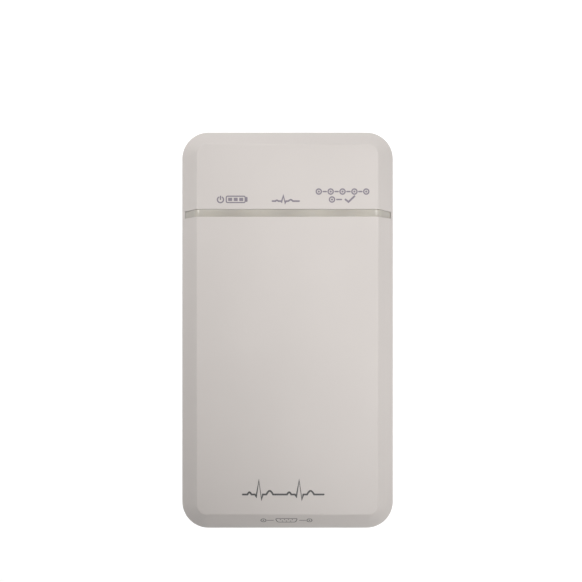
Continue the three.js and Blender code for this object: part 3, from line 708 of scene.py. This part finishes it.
def make_rear_cover():
    s = rear_envelope()
    s.name = "rear"
    e = WALL
    inner = [(e - 0.0, 3.0 + 0.0)]
    rings = []
    for k in range(5):
        a = math.radians(90.0 * k / 4)
        i = e * (1 - math.sin(a))
        rings.append(up(rrect(IN_W - 2 * i, IN_L - 2 * i, IN_R - i, 12), 3.0 + e * (1 - math.cos(a))))
    rings.append(up(rrect(IN_W, IN_L, IN_R, 12), 16.0))
    cut(s, loft("t", rings))
    add(s, box(-24.4, 24.4, -74.2, -65.6, 2.0, Z_PART),
        box(-23.5, 23.5, 6.5, 73.5, 2.5, 4.4),
        box(-BAY_HW - BAY_WALL, BAY_HW + BAY_WALL, BAY_Y0 - BAY_WALL, 71.4, 2.6, BAY_Z1 + BAY_WALL),
        box(-23.5, 23.5, BAY_Y1, 73.2, 2.7, 13.0))
    for x, y in COVER_SCREWS:
        add(s, cyl_z(4.2, x, y, 2.2, Z_PART, 32))
    for x, y in BOARD_SCREWS:
        add(s, cyl_z(3.2, x, y, 2.3, 20.2, 24))
        cut(s, cyl_z(0.95, x, y, 11, 21.2, 12))
    ring = prism_z(rrect(IN_W + 2.2, IN_L + 2.2, IN_R + 1.1, 12), 13.0, Z_PART + 1)
    cut(ring, prism_z(rrect(IN_W - 0.02, IN_L - 0.02, IN_R, 12), 12, Z_PART + 2), box(-25.9, 25.9, -77, -70, 12, 16), box(-23.6, 23.6, 70, 77, 12, 16))
    cut(s, ring)
    cut(s, pocket(), panel_groove())
    for x, y in COVER_SCREWS:
        cut(s, cyl_z(2.75, x, y, 0, 9.0, 32), cyl_z(3.3, x, y, 0.75, 1.3, 32, r1=2.75))
        cut(s, cyl_z(1.5, x, y, 8, 15.5, 16))
    cut(s, box(-BAY_HW, BAY_HW, BAY_Y0, BAY_Y1, 0, BAY_Z1))
    for x in (-CELL_X, CELL_X):
        cut(s, box(x - 1.7, x + 1.7, BAY_Y1 - 0.6, BAY_Y1 + 0.2, BAY_Z1 - 1, BAY_Z1 + 3))
    cut(s, *door_opening())
    for x, y in FEET.values():
        cut(s, cyl_z(4.7, x, y, 0, 1.6, 40))
    cut(s, box(-25.2, 25.2, -42.2, -11.8, 0, 1.2))
    return finish_piece(s, "rear_cover_shell", "housing", mat_rear, ["rear_cover"])


rear = make_rear_cover()


def make_door():
    s = box(-DOOR_HW, DOOR_HW, DOOR_Y0, 76, 0.5, Z_BACK + DOOR_T)
    add(s, box(-DOOR_HW - TONGUE, DOOR_HW + TONGUE, DOOR_Y0, 76.1, 2.0, Z_BACK + DOOR_T + 0.0), box(-DOOR_HW, DOOR_HW, 73.0, 76.2, 0.4, DOOR_LIP_Z))
    meet(s, rear_envelope())
    bevel(s, 0.16, 2, 50.0)
    # grip: six rounded cross grooves near the end
    for i in range(6):
        y = 58.5 + i * 2
        pts = [(y + 0.62 * math.cos(math.pi * k / 8), 1.0 - 0.0 + 0.42 * math.sin(math.pi * k / 8)) for k in range(9)]
        pts = pts + [(y - 0.62, 0.0), (y + 0.62, 0.0)]
        cut(s, prism_x(pts, -9, 9))
    return finish_piece(s, "battery_door_panel", "battery_door", mat_rear, ["battery_door"])


door = make_door()

# ------------------------------------------------------------------ feet


def make_foot(name, x, y):
    prof = [(0.0, 0.0), (2.4, 0.0), (2.7, 0.12), (3.3, 0.12), (3.6, 0.0)]
    for k in range(1, 7):
        a = math.radians(90.0 * k / 6)
        prof.append((3.9 + 0.6 * math.sin(a), 0.6 - 0.6 * math.cos(a)))
    prof += [(4.5, 1.6), (0.0, 1.6)]
    s = turned(name, prof, 56)
    move(s, x, y)
    return finish_piece(s, name + "_pad", "housing", mat_rubber, [name])


for n_, (x_, y_) in FEET.items():
    make_foot(n_, x_, y_)

# ------------------------------------------------------------------ strokes for the printed marks


def ribbon(points, width, closed=False, thick=0.012, cap=8):
    """A flat stroke of even width along 2-D points, with round ends, as a thin closed solid at z 0."""
    pts = [Vector(p) for p in points]
    n = len(pts)
    h = width / 2
    left, right = [], []
    for i in range(n):
        a = pts[i - 1] if (i > 0 or closed) else None
        b = pts[(i + 1) % n] if (i < n - 1 or closed) else None
        d0 = (pts[i] - a).normalized() if a is not None else None
        d1 = (b - pts[i]).normalized() if b is not None else None
        if d0 is None:
            d0 = d1
        if d1 is None:
            d1 = d0
        t = (d0 + d1).normalized()
        nrm = Vector((-t.y, t.x))
        k = min(1.0 / max(nrm.dot(Vector((-d1.y, d1.x))), 0.35), 2.2)
        left.append(pts[i] + nrm * h * k)
        right.append(pts[i] - nrm * h * k)
    if closed:
        loops = [left, right]
        outer, inner = (left, right)
        verts = []
        for z in (0.0, thick):
            verts += [(p.x, p.y, z) for p in outer] + [(p.x, p.y, z) for p in inner]
        faces = []
        m = 2 * n
        for j in range(n):
            k = (j + 1) % n
            faces.append((j, k, n + k, n + j))
            faces.append((m + j, m + n + j, m + n + k, m + k))
            faces.append((j, m + j, m + k, k))
            faces.append((n + j, n + k, m + n + k, m + n + j))
    else:
        out = list(right)
        t = (pts[-1] - pts[-2]).normalized()
        a0 = math.atan2(-t.x, t.y) + math.pi
        base = math.atan2(right[-1].y - pts[-1].y, right[-1].x - pts[-1].x)
        for k in range(1, cap):
            a = base + math.pi * k / cap
            out.append(pts[-1] + Vector((math.cos(a), math.sin(a))) * h)
        out += list(reversed(left))
        base = math.atan2(left[0].y - pts[0].y, left[0].x - pts[0].x)
        for k in range(1, cap):
            a = base + math.pi * k / cap
            out.append(pts[0] + Vector((math.cos(a), math.sin(a))) * h)
        tris = tessellate_polygon([[Vector((p.x, p.y, 0)) for p in out]])
        m = len(out)
        verts = [(p.x, p.y, 0.0) for p in out] + [(p.x, p.y, thick) for p in out]
        faces = []
        for t3 in tris:
            faces.append(tuple(t3))
            faces.append(tuple(m + i for i in reversed(t3)))
        for j in range(m):
            k = (j + 1) % m
            faces.append((j, k, m + k, m + j))
    ob = obj_from("stroke", verts, faces)
    bm = bmesh.new()
    bm.from_mesh(ob.data)
    bmesh.ops.remove_doubles(bm, verts=bm.verts, dist=1e-5)
    bmesh.ops.recalc_face_normals(bm, faces=bm.faces)
    bm.to_mesh(ob.data)
    bm.free()
    return ob


def disc(r, cx, cy, n=24, thick=0.012):
    return prism_z(circle(r, n, cx, cy), 0.0, thick)


def ring_mark(r, cx, cy, width, n=32):
    return ribbon(circle(r, n, cx, cy), width, closed=True)


def arc_pts(r, cx, cy, a0, a1, n=20):
    return [(cx + r * math.cos(math.radians(a0 + (a1 - a0) * k / n)), cy + r * math.sin(math.radians(a0 + (a1 - a0) * k / n))) for k in range(n + 1)]


def power_mark(cx, cy, r, w):
    return [ribbon(arc_pts(r, cx, cy, 128, 412, 28), w), ribbon([(cx, cy + 0.1 * r), (cx, cy + 1.12 * r)], w)]


def pulse_pts(x0, x1, cy, a):
    """One heartbeat trace between x0 and x1: small wave, sharp spike, rounded wave."""
    s = x1 - x0
    out = [(x0, cy), (x0 + 0.12 * s, cy)]
    out += [(x0 + (0.12 + 0.10 * k / 8) * s, cy + 0.16 * a * math.sin(math.pi * k / 8)) for k in range(1, 9)]
    out += [(x0 + 0.31 * s, cy), (x0 + 0.345 * s, cy - 0.14 * a), (x0 + 0.41 * s, cy + a), (x0 + 0.475 * s, cy - 0.34 * a), (x0 + 0.51 * s, cy), (x0 + 0.60 * s, cy)]
    out += [(x0 + (0.60 + 0.17 * k / 10) * s, cy + 0.26 * a * math.sin(math.pi * k / 10)) for k in range(1, 11)]
    out += [(x1, cy)]
    return out


def place_marks(obs, name, mat, z=Z_FACE - 0.004, matrix=None, body="housing"):
    m = merged(*obs)
    if matrix is None:
        move(m, 0, 0, z)
    else:
        m.data.transform(matrix)
    return finish_piece(m, name, body, mat, (), smooth=30, weighted=False)


# indicator marks above the light bar
INK_W = 0.62
marks = power_mark(-24.85, 48.1, 1.12, 0.52)
marks += [ribbon(rrect(7.0, 2.35, 0.5, 4, -19.2, 48.2), 0.46, closed=True), ribbon([(-15.15, 48.8), (-15.15, 47.6)], 0.7)]
marks += [prism_z(rrect(1.5, 1.2, 0.12, 2, x, 48.2), 0, 0.012) for x in (-21.25, -19.2, -17.15)]
place_marks(marks, "mark_power", mat_ink)
place_marks([ribbon(pulse_pts(-5.6, 4.3, 47.55, 2.0), INK_W)], "mark_work", mat_ink)
marks = []
for i in range(5):
    x = 20.4 + (i - 2) * 4.4
    marks += [ring_mark(0.95, x, 51.1, 0.52), disc(0.4, x, 51.1, 16)]
    if i < 4:
        marks.append(ribbon([(x + 1.65, 51.1), (x + 2.75, 51.1)], 0.55))
marks += [ring_mark(0.95, 16.5, 48.15, 0.52), disc(0.4, 16.5, 48.15, 16), ribbon([(18.3, 48.15), (20.0, 48.15)], 0.55),
          ribbon([(21.5, 48.15), (22.6, 47.25), (24.8, 49.35)], 0.7)]
place_marks(marks, "mark_electrodes", mat_ink)

# heartbeat line low on the face
trace = pulse_pts(-16.6, -2.0, -61.2, 5.2)[:-1] + pulse_pts(-2.0, 13.4, -61.2, 5.2)[1:]
place_marks([ribbon(trace, 0.68)], "mark_trace", mat_ink_dark)


def bottom_marks():
    """Socket mark on the bottom chamfer: two electrodes wired to a D-shaped outline."""
    out = []
    d = [(-4.1, 1.15), (4.1, 1.15), (3.4, -1.15), (-3.4, -1.15)]
    pts = []
    for i, p in enumerate(d):
        a, b = Vector(d[i - 1]), Vector(d[(i + 1) % 4])
        p = Vector(p)
        u, v = (a - p).normalized(), (b - p).normalized()
        for k in range(5):
            t = k / 4
            q = (p + u * 0.7) * (1 - t) ** 2 + p * 2 * t * (1 - t) + (p + v * 0.7) * t ** 2
            pts.append((q.x, q.y))
    out.append(ribbon(pts, 0.3, closed=True))
    for i in range(4):
        out.append(disc(0.24, (i - 1.5) * 1.5, 0.42, 12))
    for i in range(3):
        out.append(disc(0.24, (i - 1) * 1.5, -0.42, 12))
    for s in (-1, 1):
        out.append(ribbon([(s * 4.9, 0), (s * 7.2, 0)], 0.3))
        out.append(ring_mark(0.95, s * 8.6, 0, 0.32))
        out.append(disc(0.3, s * 8.6, 0, 12))
    # lay them on the chamfer of the bottom end
    run = 3.55
    y, z = HALF_FACE, 0
    cy = -(L / 2 - MARGIN) - run * math.cos(THETA)
    cz = Z_FACE - run * math.sin(THETA)
    nx = Vector((0, -math.sin(THETA), math.cos(THETA)))
    upv = Vector((0, math.cos(THETA), math.sin(THETA)))
    mat = Matrix(((1, 0, 0, -0.4), (0, upv.y, nx.y, cy), (0, upv.z, nx.z, cz), (0, 0, 0, 1)))
    shift = Matrix.Translation((0, 0, -0.004))
    return place_marks(out, "mark_socket", mat_ink_dark, matrix=mat @ shift)


bottom_marks()

# ------------------------------------------------------------------ power key


def make_key():
    rings = []
    n = 10
    e = 0.45

    def at(inset, x):
        return along_x(rrect(KEY_L - 2 * inset, KEY_H - 2 * inset, max(1.4 - inset, 0.12), n, KEY_Y, KEY_Z), x)
    rings.append(at(0, 36.8))
    for k in range(7):
        a = math.radians(90.0 * k / 6)
        rings.append(at(e * (1 - math.cos(a)), 40.0 - e + e * math.sin(a)))
    rings.append(at(0.62, 39.985))
    rings.append(at(0.85, 39.94))
    rings.append(at(1.05, 39.86))
    rings.append(at(1.25, 39.82))
    s = loft("key", rings)
    add(s, prism_x(rrect(KEY_L + 3, KEY_H + 1.6, 1.4, 8, KEY_Y, KEY_Z), 36.7, 37.6), box(35.4, 37.0, KEY_Y - 1.5, KEY_Y + 1.5, KEY_Z - 1, KEY_Z + 1))
    ob = finish_piece(s, "power_key_cap", "power_key", mat_key, ["power_key"])
    marks_ = power_mark(0, 0, 0.72, 0.22)
    mat = Matrix(((0, 0, 1, 39.816), (1, 0, 0, KEY_Y), (0, 1, 0, KEY_Z - 0.05), (0, 0, 0, 1)))
    place_marks(marks_, "mark_key", mat_ink_key, matrix=mat, body="power_key")
    return ob


make_key()

# ------------------------------------------------------------------ patient-cable socket


def d_outline(d, n=6):
    h = SHELL_HH - d
    k = math.tan(math.radians(10))
    w_top = SHELL_HW - d * (1 / math.cos(math.radians(10)) - k)
    w_bot = w_top - 2 * h * k
    r = max(2.3 - d, 0.5)
    pts = [(-w_bot, -h), (w_bot, -h), (w_top, h), (-w_top, h)]
    out = []
    for i, p in enumerate(pts):
        p = Vector(p)
        u = (Vector(pts[i - 1]) - p).normalized()
        v = (Vector(pts[(i + 1) % 4]) - p).normalized()
        half = math.acos(u.dot(v)) / 2
        c = p + (u + v).normalized() * (r / math.sin(half))
        p0, p1 = p + u * (r / math.tan(half)), p + v * (r / math.tan(half))
        a0, a1 = math.atan2(p0.y - c.y, p0.x - c.x), math.atan2(p1.y - c.y, p1.x - c.x)
        if a1 < a0:
            a1 += 2 * math.pi
        for j in range(n + 1):
            a = a0 + (a1 - a0) * j / n
            out.append((c.x + r * math.cos(a), c.y + r * math.sin(a) + SOCKET_Z))
    return out


PINS = [((i - 3.5) * PIN_PITCH, PIN_ROW) for i in range(8)] + [((i - 3) * PIN_PITCH, -PIN_ROW) for i in range(7)]


def make_socket():
    panel = box(-PANEL_HW, PANEL_HW, PANEL_Y0, PANEL_Y1, SOCKET_Z - PANEL_HH, SOCKET_Z + PANEL_HH)
    cut(panel, prism_y(d_outline(-0.35), PANEL_Y0 - 1, PANEL_Y1 + 1),
        loft("t", [along_y(d_outline(-0.35), PANEL_Y0 + 0.25), along_y(d_outline(-0.65), PANEL_Y0 - 0.05)]))
    for x in (-JACK_X, JACK_X):
        cut(panel, cyl_y(1.75, x, SOCKET_Z, PANEL_Y0 - 1, PANEL_Y1 + 1, 24))
    finish_piece(panel, "socket_panel_plate", "housing", mat_rear, ["socket_panel"])

    y1 = PANEL_Y1 + FLANGE_T
    shell = prism_y(rrect(2 * FLANGE_HW, 2 * FLANGE_HH, 1.2, 6, 0, SOCKET_Z), PANEL_Y1, y1)
    tip = [along_y(d_outline(0), PANEL_Y1 + 0.2), along_y(d_outline(0), SHELL_TIP + 0.2)]
    for k in range(1, 4):
        a = math.radians(90 * k / 3)
        tip.append(along_y(d_outline(0.14 * (1 - math.cos(a))), SHELL_TIP + 0.2 - 0.2 * math.sin(a)))
    add(shell, loft("t", tip))
    cut(shell, prism_y(d_outline(SHELL_T), SHELL_TIP - 1, y1 + 1))
    for x in (-JACK_X, JACK_X):
        cut(shell, cyl_y(1.6, x, SOCKET_Z, PANEL_Y1 - 1, y1 + 1, 24))
    finish_piece(shell, "socket_shell_metal", "housing", mat_nickel, ["socket_shell"])

    face = SHELL_TIP + 0.2
    ins = [along_y(d_outline(SHELL_T + 0.1), y1), along_y(d_outline(SHELL_T + 0.1), face + 0.15), along_y(d_outline(SHELL_T + 0.24), face)]
    ins = loft("t", ins)
    holes = []
    for x, dz in PINS:
        z = SOCKET_Z + dz
        holes.append(loft("t", [along_y(circle(0.62, 20, x, z), PANEL_Y1 - 1), along_y(circle(0.62, 20, x, z), face + 0.35), along_y(circle(1.0, 20, x, z), face - 0.03)]))
    cut(ins, merged(*holes))
    finish_piece(ins, "socket_insulator_face", "housing", mat_black, ["socket_insulator"])

    tubes = []
    for x, dz in PINS:
        z = SOCKET_Z + dz
        t = cyl_y(0.58, x, z, face + 0.6, PANEL_Y1 - 1.05, 18)
        cut(t, cyl_y(0.4, x, z, face, PANEL_Y1 - 2.5, 18))
        tubes.append(t)
    finish_piece(merged(*tubes), "socket_contacts", "housing", mat_gold, (), weighted=False)


make_socket()


def make_jackscrew(name, x):
    af = 5.0 / math.sqrt(3)
    y0, y1 = PANEL_Y0 - 4.8, PANEL_Y0
    hexa = prism_y(circle(af, 6, x, SOCKET_Z, math.pi / 2), y0, y1)
    meet(hexa, loft("t", [along_y(circle(2.62, 40, x, SOCKET_Z), y1 + 0.001), along_y(circle(3.2, 40, x, SOCKET_Z), y1 - 0.35),
                          along_y(circle(3.2, 40, x, SOCKET_Z), y0 + 0.4), along_y(circle(2.5, 40, x, SOCKET_Z), y0 - 0.001)]))
    add(hexa, cyl_y(1.4, x, SOCKET_Z, PANEL_Y0 - 1, -62.6, 24))
    # threaded hole, drawn as ring grooves
    rings = []
    y = y0 - 0.2
    rings.append(along_y(circle(1.1, 24, x, SOCKET_Z), PANEL_Y0 - 0.85))
    k = 0
    yy = PANEL_Y0 - 0.9
    while yy > y0 + 0.5:
        rings.append(along_y(circle(1.1, 24, x, SOCKET_Z), yy))
        rings.append(along_y(circle(1.3, 24, x, SOCKET_Z), yy - 0.25))
        yy -= 0.5
    rings.append(along_y(circle(1.1, 24, x, SOCKET_Z), y0 + 0.3))
    rings.append(along_y(circle(1.5, 24, x, SOCKET_Z), y0 - 0.1))
    cut(hexa, loft("t", rings))
    return finish_piece(hexa, name + "_hex", "housing", mat_nickel, [name], smooth=28)


make_jackscrew("jackscrew_left", -JACK_X)
make_jackscrew("jackscrew_right", JACK_X)

# ------------------------------------------------------------------ cells and springs


def make_cell_piece(name, x, y_nub, way):
    body = CELL_L - 1.1
    prof = [(0, 0.0), (4.4, 0.0), (4.7, 0.2), (5.1, 0.3), (6.5, 0.3), (6.9, 0.35), (7.15, 0.55), (CELL_R, 0.85), (CELL_R, body - 0.8), (7.15, body - 0.5), (6.8, body - 0.3), (6.3, body - 0.3),
            (6.0, body - 0.2), (3.4, body), (2.85, body), (2.75, body + 0.1), (2.75, CELL_L - 0.35), (2.6, CELL_L - 0.1), (2.3, CELL_L), (0, CELL_L)]
    s = turned(name, prof, 56)
    rot = Matrix.Rotation(math.radians(-90 if way > 0 else 90), 4, "X")
    s.data.transform(rot)
    move(s, x, y_nub - way * CELL_L, CELL_Z)
    return finish_piece(s, name + "_can", "housing", mat_cell, [name])


make_cell_piece("battery_cell_left", -CELL_X, BAY_Y1 - 0.4 - 0.8, 1)
make_cell_piece("battery_cell_right", CELL_X, BAY_Y0 + 0.4 + 0.8, -1)


def tube(name, points, r, n=10):
    pts = [Vector(p) for p in points]
    rings = []
    t = (pts[1] - pts[0]).normalized()
    u = t.orthogonal().normalized()
    for i, p in enumerate(pts):
        a = pts[max(i - 1, 0)]
        b = pts[min(i + 1, len(pts) - 1)]
        nt_ = (b - a).normalized()
        q = t.rotation_difference(nt_)
        u = q @ u
        t = nt_
        v = t.cross(u)
        rings.append([tuple(p + (u * math.cos(2 * math.pi * k / n) + v * math.sin(2 * math.pi * k / n)) * r) for k in range(n)])
    return loft(name, rings)


def make_spring(name, x, y_plate, y_cell):
    turns, n, wire = 3.25, 110, 0.4
    way = 1 if y_cell > y_plate else -1
    y0, y1 = y_plate + way * (wire + 0.06), y_cell - way * (wire + 0.06)
    pts = []
    for i in range(n + 1):
        t = i / n
        a = t * turns * math.pi * 2
        r = 4.3 + (2.4 - 4.3) * t
        pts.append((x + r * math.cos(a), y0 + (y1 - y0) * t, CELL_Z + r * math.sin(a)))
    return finish_piece(tube(name, pts, wire), name + "_wire", "housing", mat_nickel, [name], weighted=False)


nub_left, nub_right = BAY_Y1 - 1.2, BAY_Y0 + 1.2
make_spring("battery_spring_left", -CELL_X, BAY_Y0 + 0.4, nub_left - CELL_L)
make_spring("battery_spring_right", CELL_X, BAY_Y1 - 0.4, nub_right + CELL_L)

# ------------------------------------------------------------------ finishes of the pieces carried over as they are

FINISH = {
    "led_baffle": mat_black, "main_board": mat_board, "radio_board": mat_board,
    "led_power": mat_white_plastic, "led_work": mat_white_plastic, "led_electrode": mat_white_plastic,
    "front_end_shield": mat_tin, "radio_can": mat_tin, "processor_chip": mat_black, "memory_chip": mat_black,
    "power_inductor": mat_black, "reservoir_capacitor": mat_alu, "rating_label": mat_label,
    "power_switch_body": mat_black, "power_switch_plunger": mat_white_plastic, "socket_pin_block": mat_black,
    "jack_nut_left": mat_nickel, "jack_nut_right": mat_nickel,
    "link_contact": mat_nickel, "positive_contact": mat_nickel, "negative_contact": mat_nickel,
    "front_cover": mat_front, "rear_cover": mat_rear, "battery_door": mat_rear, "light_bar": mat_bar,
    "power_key": mat_key, "socket_panel": mat_rear, "socket_shell": mat_nickel, "socket_insulator": mat_black,
    "jackscrew_left": mat_nickel, "jackscrew_right": mat_nickel, "battery_cell_left": mat_cell, "battery_cell_right": mat_cell,
    "battery_spring_left": mat_nickel, "battery_spring_right": mat_nickel,
}
for name_, ob_ in NODES.items():
    m_ = FINISH.get(name_)
    if m_ is None:
        m_ = mat_steel if "screw" in name_ else mat_rubber
    for s_ in ob_.material_slots:
        s_.material = m_

# ------------------------------------------------------------------ floor and light


FLOOR_GLOW = 0.89                                   # lit from below, like a light table


def make_floor():
    me = bpy.data.meshes.new("floor")
    s = 6.0
    me.from_pydata([(-s, -s, 0), (s, -s, 0), (s, s, 0), (-s, s, 0)], [], [(0, 1, 2, 3)])
    ob = bpy.data.objects.new("floor", me)
    sc.collection.objects.link(ob)
    m, nt, b = material("floor_paper")
    co = coords(nt)
    f = noise(nt, co, 6.0, 2.0, 0.5)
    nt.links.new(ramp(nt, f, [(0.3, (0.27, 0.27, 0.27, 1)), (0.7, (0.29, 0.29, 0.29, 1))]), b.inputs["Base Color"])
    b.inputs["Emission Color"].default_value = (1.0, 1.0, 1.0, 1.0)
    # painted contact shadow: no glow where the box covers the table, so that the gap under it stays dark
    v = co
    for op, c in (("ABSOLUTE", None), ("SUBTRACT", (0.030, 0.065, 0.0)), ("MAXIMUM", (0.0, 0.0, 0.0)), ("LENGTH", None)):
        n = nt.nodes.new("ShaderNodeVectorMath")
        n.operation = op
        nt.links.new(v, n.inputs[0])
        if c is not None:
            n.inputs[1].default_value = c
        v = n.outputs["Value" if op == "LENGTH" else 0]
    mr = nt.nodes.new("ShaderNodeMapRange")
    mr.inputs["From Min"].default_value, mr.inputs["From Max"].default_value = 0.006, 0.010
    mr.inputs["To Min"].default_value, mr.inputs["To Max"].default_value = 0.0, FLOOR_GLOW
    nt.links.new(v, mr.inputs["Value"])
    nt.links.new(mr.outputs[0], b.inputs["Emission Strength"])
    b.inputs["Roughness"].default_value = 0.9
    b.inputs["Specular IOR Level"].default_value = 0.1
    me.materials.append(m)


make_floor()

HORIZON, ZENITH = 0.52, 0.06
world = bpy.data.worlds.new("studio")
sc.world = world
world.use_nodes = True
wnt = world.node_tree
bg = wnt.nodes["Background"]
# a pale backdrop all round up to about 20 degrees, darker overhead, where the lights hang
w_sep = wnt.nodes.new("ShaderNodeSeparateXYZ")
wnt.links.new(wnt.nodes.new("ShaderNodeTexCoord").outputs["Generated"], w_sep.inputs[0])
w_ramp = wnt.nodes.new("ShaderNodeValToRGB")
w_ramp.color_ramp.interpolation = "EASE"
w_ramp.color_ramp.elements[0].position = 0.30
w_ramp.color_ramp.elements[0].color = (HORIZON, HORIZON, HORIZON, 1.0)
w_ramp.color_ramp.elements[1].position = 0.62
w_ramp.color_ramp.elements[1].color = (ZENITH, ZENITH, ZENITH, 1.0)
wnt.links.new(w_sep.outputs["Z"], w_ramp.inputs["Fac"])
wnt.links.new(w_ramp.outputs["Color"], bg.inputs["Color"])
# the right and top sides of the room are a little brighter than the others
w_x = wnt.nodes.new("ShaderNodeMath")
w_x.operation = "MULTIPLY_ADD"
w_x.inputs[1].default_value, w_x.inputs[2].default_value = 0.35, 0.85
w_y = wnt.nodes.new("ShaderNodeMath")
w_y.operation = "MULTIPLY_ADD"
w_y.inputs[1].default_value = 0.30
wnt.links.new(w_sep.outputs["X"], w_x.inputs[0])
wnt.links.new(w_sep.outputs["Y"], w_y.inputs[0])
wnt.links.new(w_x.outputs[0], w_y.inputs[2])
wnt.links.new(w_y.outputs[0], bg.inputs["Strength"])


def area(name, loc, target, size, power, spread=180.0, col=(1, 1, 1), tall=None):
    li = bpy.data.lights.new(name, "AREA")
    li.shape, li.size, li.size_y, li.energy, li.color, li.spread = "RECTANGLE", size, tall or size, power, col, math.radians(spread)
    ob = bpy.data.objects.new(name, li)
    sc.collection.objects.link(ob)
    ob.location = Vector(loc)
    ob.rotation_euler = (Vector(target) - Vector(loc)).to_track_quat("-Z", "Y").to_euler()
    return ob


area("grid_low_right", (0.149, -0.149, 0.394), (0.08, -0.01, 0.03), 0.20, 0.161, 60.0)
area("grid_top_left", (-0.20, 0.28, 0.32), (-0.05, 0.11, 0.03), 0.28, 0.173, 55.0)
area("grid_left", (-0.30, 0.12, 0.36), (-0.06, 0.10, 0.03), 0.34, 0.050, 60.0)
area("grid_right", (0.205, 0.150, 0.415), (0.04, 0.055, 0.03), 0.10, 0.055, 60.0)

sc.view_settings.view_transform = "Standard"
sc.view_settings.look = "None"
